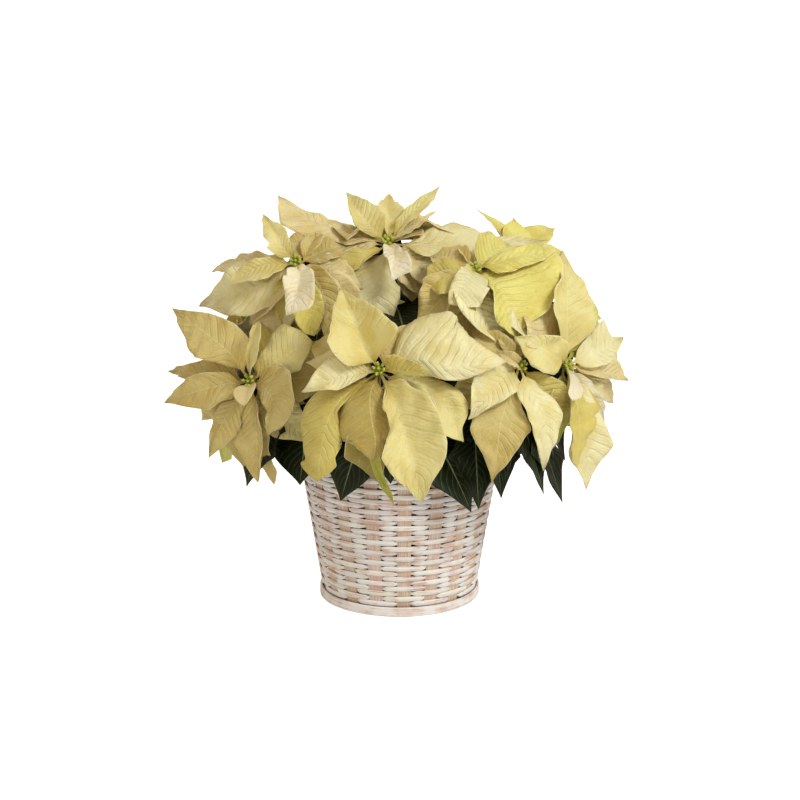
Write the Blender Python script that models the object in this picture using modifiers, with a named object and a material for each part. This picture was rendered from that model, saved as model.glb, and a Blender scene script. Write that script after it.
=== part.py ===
"""A cream-yellow poinsettia growing in a pot inside a whitewashed woven basket.

Metres, +Z up, the front faces -Y. The origin is the middle of the basket's underside.
"""

from math import cos, pi, radians, sin
from random import Random

import bmesh
import bpy
from mathutils import Matrix, Vector

MM = 0.001
GAP = 0.3 * MM
UP = Vector((0.0, 0.0, 1.0))

# Basket
BASKET_HEIGHT = 165 * MM
FOOT_RADIUS = 85 * MM
HOOP_HEIGHT = 10 * MM
HOOP_THICKNESS = 2.7 * MM
BASE_THICKNESS = 6 * MM
WALL_THICKNESS = 3.5 * MM
WALL_FLARE = 0.156
RIM_HEIGHT = 9 * MM
RIM_THICKNESS = 3 * MM
ROUND_SIDES = 48

# Pot and soil
POT_FOOT_RADIUS = 58 * MM
POT_RIM_RADIUS = 79 * MM
POT_TOP = 150 * MM
POT_WALL = 1.6 * MM
POT_LIP_DEPTH = 12 * MM
POT_LIP_REACH = 2.5 * MM
SOIL_TOP = 136 * MM
POT_SIDES = 40

# Stems
TRUNK_RADIUS = 5 * MM
TRUNK_DEPTH = 26 * MM
FORK_HEIGHT = 178 * MM
BRANCH_FOOT_RADIUS = 3.2 * MM
BRANCH_TIP_RADIUS = 2.2 * MM
BRANCH_POINTS = 7
TRUNK_TAPER = 0.9
FORK_OVERLAP = 6 * MM
BRANCH_STEP = 3 * MM
BRANCH_CLIMB = 0.9
BRANCH_LEAVE = 0.35
BRANCH_ARRIVE = 0.3
STEM_BEVEL = 1

# Whorls of bracts and the small true flowers in their middles
CROWN_FOOT_RADIUS = 3.2 * MM
CROWN_RADIUS = 6 * MM
CROWN_DEPTH = 9 * MM
CROWN_SIDES = 10
BRACT_THICKNESS = 0.8 * MM
BRACT_FOOT_WIDTH = 2.6 * MM
BRACT_START = 3 * MM
BRACT_ARCH = 0.11
BRACT_LOW_SEAT = 7.5 * MM
BRACT_HIGH_SEAT = 1.5 * MM
CUP_COUNT = 6
CUP_RING_RADIUS = 3.5 * MM
CUP_HEIGHT = 6 * MM
CUP_RADIUS = 1.7 * MM
CUP_FOOT_RADIUS = 1.2 * MM
CUP_SIDES = 5
CUP_PLATE_RADIUS = 5 * MM
CUP_PLATE_HEIGHT = 1.5 * MM
CUP_SEAT = 0.8 * MM
CLUSTER_ROOM_RADIUS = 7 * MM

# Leaves
LEAF_THICKNESS = 0.9 * MM
PETIOLE_WIDTH = 3 * MM
PETIOLE_SHARE = 0.32
LEAF_LIFT = 0.3
LEAF_OUTWARD = 0.7
LEAF_BEND = 0.45

# Where each outline is drawn: share of the length, share of the full width
BRACT_OUTLINE = ((0.0, 0.0), (0.32, 0.92), (0.66, 0.8), (1.0, 0.0))
BLADE_OUTLINE = ((0.0, 0.0), (0.25, 0.88), (0.58, 0.92), (1.0, 0.0))

# The room that later pieces leave round a bract or a leaf
SIDE_ROOM = 0.4 * MM
FACE_ROOM = 0.7 * MM
BRACT_ROOM_THICKNESS = BRACT_THICKNESS + FACE_ROOM
LEAF_ROOM_THICKNESS = LEAF_THICKNESS + FACE_ROOM

# The whorls on the unseen sides: a ring's count, first turn, reach, width and droop, and how bracts vary
OUTER_RING = (7, 0, 98, 50, 18)
INNER_RING = (5, 30, 66, 34, -4)
WHORL_TURN = 20
TURN_PLAY = 9
REACH_PLAY = (0.88, 1.1)
WIDTH_PLAY = (0.9, 1.1)
DROOP_PLAY = 5
INNER_SEED = 50


def ring(shape, first_turn, size, seed):
    """One ring of bracts on a whorl that no photo shows: turn, reach, width and droop of each."""
    count, turn_on, reach, width, droop = shape
    dice = Random(seed)
    rows = []
    for index in range(count):
        turn = first_turn + turn_on + 360 / count * index + dice.uniform(-TURN_PLAY, TURN_PLAY)
        rows.append((
            turn, reach * size * dice.uniform(*REACH_PLAY), width * size * dice.uniform(*WIDTH_PLAY),
            droop + dice.uniform(-DROOP_PLAY, DROOP_PLAY),
        ))
    return rows


def full_whorl(seed, size=1.0):
    """Two rings of bracts, the outer one larger and hanging lower."""
    first_turn = WHORL_TURN * seed
    return ring(OUTER_RING, first_turn, size, seed) + ring(INNER_RING, first_turn, size, seed + INNER_SEED)


# Each whorl: middle in mm, the way its face looks (degrees round from the front, degrees up), and its bracts.
# A bract: turn round the face in degrees (0 to the right, 90 up), reach in mm, width in mm, droop in degrees.
WHORLS = {
    "front": ((-20, -150, 278), -5, 32, [
        (116, 94, 60, 0), (-160, 79, 34, -5), (172, 76, 33, 10), (-120, 125, 44, 20), (-92, 90, 53, 10),
        (-70, 135, 59, 8), (-36, 107, 58, 20), (-4, 54, 18, -12), (5, 124, 52, 0), (-98, 116, 30, 32),
        (-82, 133, 8, 27), (62, 72, 40, 26), (152, 96, 46, 26), (22, 100, 46, 26),
    ]),
    "right": ((119, -125, 277), 18, 15, [
        (-140, 75, 45, 0), (-105, 119, 55, 12), (-80, 108, 53, 3), (147, 60, 36, 12), (152, 36, 13, -20),
        (96, 56, 38, 20), (-50, 88, 44, 24), (60, 62, 36, 24), (178, 72, 40, 26),
    ]),
    "left": ((-151, -85, 251), -28, 20, [
        (150, 131, 52, 5), (178, 133, 42, 17), (-163, 114, 46, 8), (-152, 108, 30, 30), (-117, 93, 40, 8),
        (-121, 113, 30, 30), (-78, 102, 30, 8), (-72, 110, 20, 22), (-52, 63, 33, -5), (82, 61, 16, -15),
        (85, 81, 32, 25), (39, 78, 40, 5), (12, 88, 42, 22), (-60, 28, 20, -55), (-14, 62, 36, 24),
    ]),
    "far_right": ((168, -95, 270), 36, 12, [
        (150, 74, 38, 0), (78, 118, 56, 8), (11, 86, 46, 5), (-20, 103, 26, 10), (-8, 112, 26, 22),
        (-30, 112, 28, 22), (-49, 94, 16, 15), (-80, 26, 14, -40), (-88, 94, 34, 5), (-74, 138, 41, 14),
        (-108, 86, 36, 22), (110, 84, 40, 20),
    ]),
    "top": ((-12, -10, 380), 0, 55, [
        (149, 134, 40, 0), (180, 90, 36, 15), (125, 75, 32, -10), (89, 71, 30, 0), (48, 83, 28, -15),
        (37, 90, 34, 8), (9, 172, 54, 8), (-88, 80, 27, -12), (-138, 81, 22, 18), (-102, 92, 50, 35),
        (-76, 92, 38, 38), (-47, 80, 42, 33),
    ]),
    "upper_left": ((-104, -50, 366), -22, 42, [
        (134, 68, 24, -8), (175, 127, 43, 22), (-157, 72, 32, 2), (-164, 133, 48, 22), (-77, 60, 28, -12),
        (-29, 50, 30, -10), (-88, 80, 38, 30), (-55, 85, 34, 36), (96, 92, 44, 18), (-130, 84, 38, 26),
        (50, 80, 38, 20), (0, 74, 36, 26), (-72, 104, 42, 44),
    ]),
    "upper_right": ((75, -80, 365), 20, 45, [
        (2, 93, 34, 0), (-72, 90, 58, 2), (-84, 84, 36, 24), (-129, 60, 40, 8), (-177, 62, 36, 25),
        (69, 74, 36, 10), (-34, 96, 44, 20), (120, 78, 38, 16), (-108, 108, 46, 36),
    ]),
    "side_right": ((192, 28, 294), 86, 28, full_whorl(1, 0.86)),
    "upper_back_right": ((118, 45, 352), 70, 68, [
        (32, 56, 34, -35), (54, 44, 26, -30), (-8, 100, 40, -15), (88, 64, 34, -30), (-45, 92, 46, 14),
        (-95, 92, 46, 16), (-140, 84, 42, 20), (10, 92, 46, 16), (60, 84, 42, 10), (-170, 60, 36, 26),
    ]),
    "back_left": ((-162, 68, 264), -112, 24, full_whorl(3)),
    "back": ((-58, 162, 288), 196, 26, full_whorl(4)),
    "back_right": ((84, 160, 280), 150, 22, full_whorl(5)),
    "upper_back": ((-34, 84, 366), -162, 60, full_whorl(6, 1.12)),
}

# Each rooted cutting: where it stands on the soil in mm, and the whorls that its branches carry.
CUTTINGS = {
    "left": ((-30, -6), ("left", "upper_left", "back_left", "upper_back")),
    "middle": ((0, 24), ("front", "top", "back", "back_right")),
    "right": ((31, -8), ("right", "far_right", "upper_right", "side_right", "upper_back_right")),
}

# Each leaf: the branch that carries it, how far along, its tip in mm and its width in mm.
LEAVES = (
    ("left", 0.62, (-155, -92, 143), 56),
    ("left", 0.45, (-100, -112, 150), 60),
    ("front", 0.58, (-59, -118, 135), 62),
    ("front", 0.66, (-9, -128, 156), 48),
    ("front", 0.5, (72, -116, 123), 62),
    ("right", 0.45, (80, -100, 121), 46),
    ("right", 0.6, (103, -98, 132), 44),
    ("right", 0.7, (146, -96, 136), 60),
    ("far_right", 0.55, (166, -86, 124), 40),
    ("far_right", 0.68, (160, -62, 155), 50),
    ("side_right", 0.6, (190, 40, 172), 60),
    ("side_right", 0.45, (150, 84, 158), 62),
    ("back_right", 0.6, (112, 140, 148), 62),
    ("back_right", 0.48, (52, 158, 142), 60),
    ("back", 0.6, (-12, 168, 146), 60),
    ("back", 0.5, (-72, 156, 140), 62),
    ("back_left", 0.48, (-118, 118, 148), 60),
    ("back_left", 0.62, (-172, 48, 172), 60),
    ("left", 0.78, (-176, -18, 186), 52),
    ("upper_left", 0.62, (-84, -84, 286), 54),
    ("top", 0.6, (6, -92, 292), 56),
    ("upper_right", 0.62, (96, -62, 288), 54),
    ("upper_back_right", 0.62, (96, 98, 292), 56),
    ("upper_back", 0.62, (-92, 98, 290), 56),
)


def mm(place):
    """A place in millimetres as a Vector in metres."""
    return Vector(place) * MM


def start_scene():
    """An empty scene with one collection for the parts and one for the cutters."""
    for item in list(bpy.data.objects):
        bpy.data.objects.remove(item, do_unlink=True)
    parts = bpy.data.collections.new("poinsettia")
    cutters = bpy.data.collections.new("cutters")
    for collection in (parts, cutters):
        bpy.context.scene.collection.children.link(collection)
    return parts, cutters


def principled(name, colour, roughness):
    """A plain material for one kind of sub-part."""
    material = bpy.data.materials.new(name)
    material.use_nodes = True
    shader = material.node_tree.nodes["Principled BSDF"]
    shader.inputs["Base Color"].default_value = (*colour, 1.0)
    shader.inputs["Roughness"].default_value = roughness
    shader.inputs["Metallic"].default_value = 0.0
    material.diffuse_color = (*colour, 1.0)
    return material


def add_object(name, mesh, collection, material=None):
    """A mesh as an object in its collection."""
    item = bpy.data.objects.new(name, mesh)
    collection.objects.link(item)
    if material:
        mesh.materials.append(material)
    return item


def add_cutter(name, mesh, collection):
    """A shape that only cuts or joins others."""
    item = add_object(name, mesh, collection)
    item.hide_render = True
    item.display_type = "WIRE"
    return item


def settle_mesh(item):
    """Apply an object's modifiers, and keep its largest closed body."""
    graph = bpy.context.evaluated_depsgraph_get()
    mesh = bpy.data.meshes.new_from_object(item.evaluated_get(graph))
    form = bmesh.new()
    form.from_mesh(mesh)
    bmesh.ops.triangulate(form, faces=form.faces)
    keep_largest_body(form)
    form.to_mesh(mesh)
    form.free()
    item.modifiers.clear()
    item.data = mesh


def keep_largest_body(form):
    """Drop the small pieces that a cut leaves apart from the main body."""
    form.verts.ensure_lookup_table()
    unseen = set(form.verts)
    bodies = []
    while unseen:
        start = unseen.pop()
        body = {start}
        waiting = [start]
        while waiting:
            vert = waiting.pop()
            for edge in vert.link_edges:
                other = edge.other_vert(vert)
                if other in unseen:
                    unseen.discard(other)
                    body.add(other)
                    waiting.append(other)
        bodies.append(body)
    bodies.sort(key=len, reverse=True)
    loose = [vert for body in bodies[1:] for vert in body]
    bmesh.ops.delete(form, geom=loose, context="VERTS")


def combine(item, others, operation):
    """Join other solids to this one, or cut them from it."""
    if not others:
        return
    operands = bpy.data.collections.new("operands")
    for other in others:
        operands.objects.link(other)
    boolean = item.modifiers.new("combine", "BOOLEAN")
    boolean.operation = operation
    boolean.operand_type = "COLLECTION"
    boolean.collection = operands
    settle_mesh(item)
    bpy.data.collections.remove(operands)


def reach_of(item):
    """The lowest and highest corners of an object that sits at the origin."""
    graph = bpy.context.evaluated_depsgraph_get()
    corners = [Vector(corner) for corner in item.evaluated_get(graph).bound_box]
    low = Vector([min(corner[axis] for corner in corners) for axis in range(3)])
    high = Vector([max(corner[axis] for corner in corners) for axis in range(3)])
    return low, high


def near(item, others):
    """The objects whose boxes meet this one's box."""
    low, high = reach_of(item)
    found = []
    for other in others:
        other_low, other_high = reach_of(other)
        if all(low[axis] < other_high[axis] and other_low[axis] < high[axis] for axis in range(3)):
            found.append(other)
    return found


def turned(name, profile, sides, collection, material, is_ring=True):
    """A profile of (radius, height), outer side downwards, turned round the Z axis."""
    mesh = bpy.data.meshes.new(name)
    points = [(radius, 0.0, height) for radius, height in profile]
    edges = [(index, index + 1) for index in range(len(points) - 1)]
    if is_ring:
        edges.append((len(points) - 1, 0))
    mesh.from_pydata(points, edges, [])
    item = add_object(name, mesh, collection, material)
    screw = item.modifiers.new("turn", "SCREW")
    screw.angle = 2 * pi
    screw.steps = sides
    screw.render_steps = sides
    screw.use_merge_vertices = True
    screw.merge_threshold = 0.01 * MM
    return item


def solid_cone(name, radius_low, radius_high, low, high, sides, collection, material=None):
    """An upright frustum between two heights."""
    mesh = bpy.data.meshes.new(name)
    form = bmesh.new()
    bmesh.ops.create_cone(
        form, cap_ends=True, segments=sides, radius1=radius_low, radius2=radius_high, depth=high - low,
        matrix=Matrix.Translation((0.0, 0.0, (low + high) / 2)),
    )
    form.to_mesh(mesh)
    form.free()
    return add_object(name, mesh, collection, material)


def wall_radius(height):
    """The basket wall's outer radius at a height."""
    foot = FOOT_RADIUS - HOOP_THICKNESS - GAP
    return foot + WALL_FLARE * (height - HOOP_HEIGHT)


def build_basket(parts, cutters, wood):
    """The base board, the hoop round it, the flared wall, the hoop round its rim, and the room they need."""
    board_radius = FOOT_RADIUS - HOOP_THICKNESS - GAP
    solid_cone("basket_base", board_radius, board_radius, 0.0, BASE_THICKNESS, ROUND_SIDES, parts, wood)

    hoop_inside = FOOT_RADIUS - HOOP_THICKNESS
    turned("base_hoop", [
        (FOOT_RADIUS, HOOP_HEIGHT), (FOOT_RADIUS, 0.0), (hoop_inside, 0.0), (hoop_inside, HOOP_HEIGHT),
    ], ROUND_SIDES, parts, wood)

    low = BASE_THICKNESS + GAP
    top = BASKET_HEIGHT
    turned("basket_wall", [
        (wall_radius(top), top), (wall_radius(low), low),
        (wall_radius(low) - WALL_THICKNESS, low), (wall_radius(top) - WALL_THICKNESS, top),
    ], ROUND_SIDES, parts, wood)

    rim_low = BASKET_HEIGHT - RIM_HEIGHT
    turned("rim_hoop", [
        (wall_radius(top) + GAP + RIM_THICKNESS, top), (wall_radius(rim_low) + GAP + RIM_THICKNESS, rim_low),
        (wall_radius(rim_low) + GAP, rim_low), (wall_radius(top) + GAP, top),
    ], ROUND_SIDES, parts, wood)

    outside = wall_radius(top) + 2 * GAP + RIM_THICKNESS
    inside = wall_radius(rim_low) - WALL_THICKNESS - GAP
    room = turned("basket_room", [
        (outside, top + GAP), (outside, rim_low - GAP), (wall_radius(low) + GAP, low),
        (inside, low), (inside, top + GAP),
    ], ROUND_SIDES, cutters, None)
    room.hide_render = True
    room.display_type = "WIRE"
    return [room]


def pot_radius(height):
    """The pot wall's outer radius at a height."""
    share = (height - BASE_THICKNESS) / (POT_TOP - BASE_THICKNESS)
    return POT_FOOT_RADIUS + (POT_RIM_RADIUS - POT_FOOT_RADIUS) * share


def build_pot(parts, plastic, soil, stem_room):
    """The plastic pot and the soil in it, with room in the soil for the stems."""
    foot = BASE_THICKNESS + GAP
    floor = foot + POT_WALL
    lip_low = POT_TOP - POT_LIP_DEPTH
    turned("grower_pot", [
        (0.0, floor), (pot_radius(floor) - POT_WALL, floor), (pot_radius(POT_TOP) - POT_WALL, POT_TOP),
        (pot_radius(POT_TOP) + POT_LIP_REACH, POT_TOP), (pot_radius(lip_low) + POT_LIP_REACH, lip_low),
        (pot_radius(lip_low), lip_low), (pot_radius(foot), foot), (0.0, foot),
    ], POT_SIDES, parts, plastic, is_ring=False)

    earth_low = floor + GAP
    earth = solid_cone(
        "potting_soil", pot_radius(earth_low) - POT_WALL - GAP, pot_radius(SOIL_TOP) - POT_WALL - GAP,
        earth_low, SOIL_TOP, POT_SIDES, parts, soil,
    )
    combine(earth, near(earth, stem_room), "DIFFERENCE")


def face_axes(round_front, rise):
    """Right, up and outward directions of a whorl's face."""
    around = radians(round_front)
    tilt = radians(rise)
    outward = Vector((sin(around) * cos(tilt), -cos(around) * cos(tilt), sin(tilt)))
    right = UP.cross(outward).normalized()
    return right, outward.cross(right), outward


def tube(name, points, radii, collection):
    """A round stem through the points, as a closed mesh."""
    curve = bpy.data.curves.new(name, "CURVE")
    curve.dimensions = "3D"
    curve.bevel_depth = 1.0
    curve.bevel_resolution = STEM_BEVEL
    curve.use_fill_caps = True
    spline = curve.splines.new("POLY")
    spline.points.add(len(points) - 1)
    for control, point, radius in zip(spline.points, points, radii):
        control.co = (*point, 1.0)
        control.radius = radius
    drawn = bpy.data.objects.new(name, curve)
    collection.objects.link(drawn)
    graph = bpy.context.evaluated_depsgraph_get()
    mesh = bpy.data.meshes.new_from_object(drawn.evaluated_get(graph))
    bpy.data.objects.remove(drawn, do_unlink=True)
    bpy.data.curves.remove(curve)
    form = bmesh.new()
    form.from_mesh(mesh)
    bmesh.ops.remove_doubles(form, verts=form.verts, dist=0.01 * MM)
    bmesh.ops.recalc_face_normals(form, faces=form.faces)
    form.to_mesh(mesh)
    form.free()
    return add_cutter(name, mesh, collection)


def branch_path(stand, whorl):
    """The points of one branch, from inside its trunk's top to the underside of its whorl."""
    middle, round_front, rise = whorl[:3]
    outward = face_axes(round_front, rise)[2]
    end = mm(middle) - outward * (CROWN_DEPTH + GAP)
    start = Vector((stand[0] * MM, stand[1] * MM, FORK_HEIGHT))
    span = (end - start).length
    climb = Vector((end.x - start.x, end.y - start.y, span * BRANCH_CLIMB)).normalized()
    leave = start + climb * span * BRANCH_LEAVE
    arrive = end - outward * span * BRANCH_ARRIVE
    points = []
    for index in range(BRANCH_POINTS):
        share = index / (BRANCH_POINTS - 1)
        rest = 1 - share
        points.append(
            start * rest ** 3 + leave * 3 * rest * rest * share
            + arrive * 3 * rest * share * share + end * share ** 3
        )
    return points


def along(points, share):
    """A place on a path of points."""
    place = share * (len(points) - 1)
    index = min(int(place), len(points) - 2)
    return points[index].lerp(points[index + 1], place - index)


def build_stems(parts, cutters, bark):
    """The three cuttings, each one branched piece, and the room that others leave round them."""
    room = []
    for name, (stand, carried) in CUTTINGS.items():
        foot = Vector((stand[0] * MM, stand[1] * MM, SOIL_TOP - TRUNK_DEPTH))
        fork = Vector((stand[0] * MM, stand[1] * MM, FORK_HEIGHT + FORK_OVERLAP))
        for extra, kept in ((0.0, False), (GAP, True)):
            radii = (TRUNK_RADIUS + extra, TRUNK_RADIUS * TRUNK_TAPER + extra)
            shift = UP * extra
            trunk = tube(f"trunk_{name}", (foot - shift, fork + shift), radii, cutters)
            branches = []
            for index, whorl_name in enumerate(carried):
                points = branch_path(stand, WHORLS[whorl_name])
                points[0] = points[0] - UP * (index * BRANCH_STEP)
                last = BRANCH_POINTS - 1
                widths = [
                    BRANCH_FOOT_RADIUS + (BRANCH_TIP_RADIUS - BRANCH_FOOT_RADIUS) * step / last + extra
                    for step in range(BRANCH_POINTS)
                ]
                branches.append(tube(f"branch_{whorl_name}", points, widths, cutters))
            if kept:
                room += [trunk] + branches
                continue
            combine(trunk, branches, "UNION")
            trunk.name = f"stems_{name}"
            trunk.hide_render = False
            trunk.display_type = "TEXTURED"
            trunk.data.materials.clear()
            trunk.data.materials.append(bark)
            cutters.objects.unlink(trunk)
            parts.objects.link(trunk)
            for branch in branches:
                bpy.data.objects.remove(branch, do_unlink=True)
    return room


def strip(name, lines, thickness, collection):
    """A thin solid laid on rows of left, middle and right points, closed to a point at its last row."""
    mesh = bpy.data.meshes.new(name)
    form = bmesh.new()
    bmesh.ops.create_grid(form, x_segments=2, y_segments=len(lines) - 1, size=1.0)
    form.verts.ensure_lookup_table()
    for index, vert in enumerate(form.verts):
        vert.co = lines[index // 3][index % 3]
    bmesh.ops.remove_doubles(form, verts=form.verts, dist=0.05 * MM)
    form.to_mesh(mesh)
    form.free()
    item = add_cutter(name, mesh, collection)
    solidify = item.modifiers.new("thickness", "SOLIDIFY")
    solidify.thickness = thickness
    solidify.offset = 0.0
    settle_mesh(item)
    return item


def bract_seats(bracts):
    """How far below the crown's top each bract grows: those that hang most grow lowest."""
    by_droop = sorted(range(len(bracts)), key=lambda index: bracts[index][3])
    step = (BRACT_LOW_SEAT - BRACT_HIGH_SEAT) / (len(bracts) - 1)
    seats = {index: BRACT_HIGH_SEAT + step * rank for rank, index in enumerate(by_droop)}
    return [seats[index] for index in range(len(bracts))]


def bract_lines(whorl, bract, seat, margin=0.0):
    """Rows of left, middle and right points of one bract."""
    middle, round_front, rise = whorl[:3]
    turn, reach, width, droop = bract
    right, up, outward = face_axes(round_front, rise)
    sideways = right * cos(radians(turn)) + up * sin(radians(turn))
    start = mm(middle) + sideways * BRACT_START - outward * seat
    fall = radians(droop)
    tip = mm(middle) + (sideways * cos(fall) - outward * sin(fall)) * (reach * MM + margin)
    chord = tip - start
    across = outward.cross(chord).normalized()
    lift = chord.cross(across).normalized()
    lines = []
    for share, spread in BRACT_OUTLINE:
        centre = start + chord * share + lift * (chord.length * BRACT_ARCH * 4 * share * (1 - share))
        half = width * MM / 2 * spread + margin
        if share == 0.0:
            half = BRACT_FOOT_WIDTH / 2 + margin
        if share == 1.0:
            half = 0.0
        lines.append([centre + across * half, centre, centre - across * half])
    return lines


def build_whorls(parts, cutters, skin, other_room):
    """Each whorl of bracts as one grown piece that keeps clear of the ones before it."""
    room = []
    for name, whorl in WHORLS.items():
        middle, round_front, rise, bracts = whorl
        outward = face_axes(round_front, rise)[2]
        foot = mm(middle) - outward * CROWN_DEPTH
        crown = cone_along(name, foot, outward, CROWN_FOOT_RADIUS, CROWN_RADIUS, CROWN_DEPTH, CROWN_SIDES)
        item = add_object(f"bracts_{name}", crown, parts, skin)
        seats = bract_seats(bracts)
        blades = [
            strip("bract", bract_lines(whorl, bract, seat), BRACT_THICKNESS, cutters)
            for bract, seat in zip(bracts, seats)
        ]
        combine(item, blades, "UNION")
        for blade in blades:
            bpy.data.objects.remove(blade, do_unlink=True)
        combine(item, near(item, room + other_room), "DIFFERENCE")
        room += [
            strip("bract_room", bract_lines(whorl, bract, seat, SIDE_ROOM), BRACT_ROOM_THICKNESS, cutters)
            for bract, seat in zip(bracts, seats)
        ]
    return room


def cone_along(name, foot, outward, radius_low, radius_high, depth, sides):
    """A cone's mesh that stands on a point and runs along a direction."""
    turn = UP.rotation_difference(outward).to_matrix().to_4x4()
    mesh = bpy.data.meshes.new(name)
    form = bmesh.new()
    bmesh.ops.create_cone(
        form, cap_ends=True, segments=sides, radius1=radius_low, radius2=radius_high, depth=depth,
        matrix=Matrix.Translation(foot + outward * (depth / 2)) @ turn,
    )
    form.to_mesh(mesh)
    form.free()
    return mesh


def build_cyathia(parts, cutters, flower):
    """The cluster of small cups in the middle of each whorl, and the room it needs."""
    room = []
    for name, (middle, round_front, rise, _) in WHORLS.items():
        right, up, outward = face_axes(round_front, rise)
        foot = mm(middle) + outward * GAP
        plate = cone_along(
            name, foot, outward, CUP_PLATE_RADIUS, CUP_PLATE_RADIUS, CUP_PLATE_HEIGHT, CROWN_SIDES
        )
        cluster = add_object(f"cyathia_{name}", plate, parts, flower)
        cups = []
        for index in range(CUP_COUNT):
            around = 2 * pi * index / (CUP_COUNT - 1)
            spread = CUP_RING_RADIUS if index < CUP_COUNT - 1 else 0.0
            place = foot + (right * cos(around) + up * sin(around)) * spread + outward * CUP_SEAT
            cup = cone_along(name, place, outward, CUP_FOOT_RADIUS, CUP_RADIUS, CUP_HEIGHT, CUP_SIDES)
            cups.append(add_cutter("cup", cup, cutters))
        combine(cluster, cups, "UNION")
        for cup in cups:
            bpy.data.objects.remove(cup, do_unlink=True)
        around_cups = cone_along(
            name, mm(middle) + outward * (GAP / 2), outward, CLUSTER_ROOM_RADIUS, CLUSTER_ROOM_RADIUS,
            CUP_SEAT + CUP_HEIGHT + GAP, CROWN_SIDES,
        )
        room.append(add_cutter("cyathia_room", around_cups, cutters))
    return room


def leaf_lines(branch, share, tip, width, margin=0.0):
    """Rows of left, middle and right points of one leaf: its stalk, then its blade."""
    start = along(branch, share)
    end = mm(tip)
    span = end - start
    outward = Vector((end.x, end.y, 0.0)).normalized()
    bend = start + span * LEAF_BEND + UP * (span.length * LEAF_LIFT)
    facing = outward * LEAF_OUTWARD + UP
    stations = [(0.0, PETIOLE_WIDTH / 2), (PETIOLE_SHARE, PETIOLE_WIDTH / 2)]
    for place, spread in BLADE_OUTLINE[1:]:
        stations.append((PETIOLE_SHARE + (1 - PETIOLE_SHARE) * place, width * MM / 2 * spread))
    across = facing.cross(span).normalized()
    lines = []
    for place, half in stations:
        rest = 1 - place
        centre = start * rest * rest + bend * 2 * rest * place + end * place * place
        if place == 1.0:
            centre += span.normalized() * margin
            half = -margin
        lines.append([centre + across * (half + margin), centre, centre - across * (half + margin)])
    return lines


def build_leaves(parts, cutters, green, room):
    """Each leaf on its branch, clear of everything made before it."""
    branches = {
        whorl_name: branch_path(stand, WHORLS[whorl_name])
        for stand, carried in CUTTINGS.values()
        for whorl_name in carried
    }
    taken = list(room)
    for number, (branch_name, share, tip, width) in enumerate(LEAVES, start=1):
        branch = branches[branch_name]
        leaf = strip(f"leaf_{number:02d}", leaf_lines(branch, share, tip, width), LEAF_THICKNESS, cutters)
        cutters.objects.unlink(leaf)
        parts.objects.link(leaf)
        leaf.hide_render = False
        leaf.display_type = "TEXTURED"
        leaf.data.materials.append(green)
        combine(leaf, near(leaf, taken), "DIFFERENCE")
        taken.append(
            strip("leaf_room", leaf_lines(branch, share, tip, width, SIDE_ROOM), LEAF_ROOM_THICKNESS, cutters)
        )


def main():
    parts, cutters = start_scene()
    wood = principled("whitewashed_chipwood", (0.62, 0.5, 0.4), 0.7)
    plastic = principled("pot_plastic", (0.02, 0.025, 0.02), 0.45)
    soil = principled("potting_soil", (0.03, 0.02, 0.013), 0.95)
    bark = principled("green_bark", (0.16, 0.2, 0.08), 0.6)
    skin = principled("cream_bract", (0.78, 0.68, 0.34), 0.55)
    green = principled("leaf_green", (0.02, 0.05, 0.015), 0.45)
    flower = principled("cyathium_green", (0.2, 0.28, 0.05), 0.5)

    stem_room = build_stems(parts, cutters, bark)
    basket_room = build_basket(parts, cutters, wood)
    build_pot(parts, plastic, soil, stem_room)
    flower_room = build_cyathia(parts, cutters, flower)
    bract_room = build_whorls(parts, cutters, skin, stem_room + flower_room)
    build_leaves(parts, cutters, green, stem_room + bract_room + basket_room)


main()
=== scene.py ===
"""The looks of a cream-yellow poinsettia in its whitewashed woven basket.

Metres, +Z up, the front faces -Y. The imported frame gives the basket, the pot and the stems their places.
Lengths in the tables are millimetres, angles are degrees.
"""

from math import cos, pi, radians, sin
from random import Random

import bmesh
import bpy
import numpy as np
from mathutils import Matrix, Vector, noise


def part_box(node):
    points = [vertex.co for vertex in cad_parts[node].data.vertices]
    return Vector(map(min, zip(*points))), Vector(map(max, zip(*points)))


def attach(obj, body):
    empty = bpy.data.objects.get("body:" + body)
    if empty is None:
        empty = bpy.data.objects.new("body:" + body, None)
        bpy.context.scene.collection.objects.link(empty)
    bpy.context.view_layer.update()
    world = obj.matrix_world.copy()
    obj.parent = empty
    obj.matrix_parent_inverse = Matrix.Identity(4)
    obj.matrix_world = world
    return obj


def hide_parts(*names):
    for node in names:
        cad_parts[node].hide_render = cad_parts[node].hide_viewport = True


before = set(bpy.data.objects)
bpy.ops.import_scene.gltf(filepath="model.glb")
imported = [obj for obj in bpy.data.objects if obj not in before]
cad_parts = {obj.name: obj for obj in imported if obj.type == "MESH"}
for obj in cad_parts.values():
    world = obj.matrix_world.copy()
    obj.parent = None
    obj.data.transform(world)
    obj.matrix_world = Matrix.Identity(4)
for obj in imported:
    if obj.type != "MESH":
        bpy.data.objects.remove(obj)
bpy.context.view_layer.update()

MM = 0.001
UP = Vector((0.0, 0.0, 1.0))

# The basket, as the frame has it
FOOT_RADIUS = 85.0
BASKET_HEIGHT = 165.0
HOOP_HEIGHT = 10.0
WALL_FLARE = 0.156
WALL_MIDDLE = 80.3
STAKE_COUNT = 18
FIRST_STAKE = 3.0
STAKE_WIDTH = 14.0
STAKE_THICKNESS = 1.2
WEAVER_PITCH = 5.72
WEAVER_HEIGHT = 5.5
WEAVER_THICKNESS = 1.0
WEAVER_REACH = 1.6
WEAVER_CORNERS = 12
WEAVER_CROWN = 0.25
WEAVER_PINCH = 0.5
PINCH_SPREAD = 1.35
WEAVER_STRAY = 0.28
DIP_INNER = 3.5
DIP_OUTER = 6.5
WEAVER_LOW = 10.6
WEAVER_ROWS = 26

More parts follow.
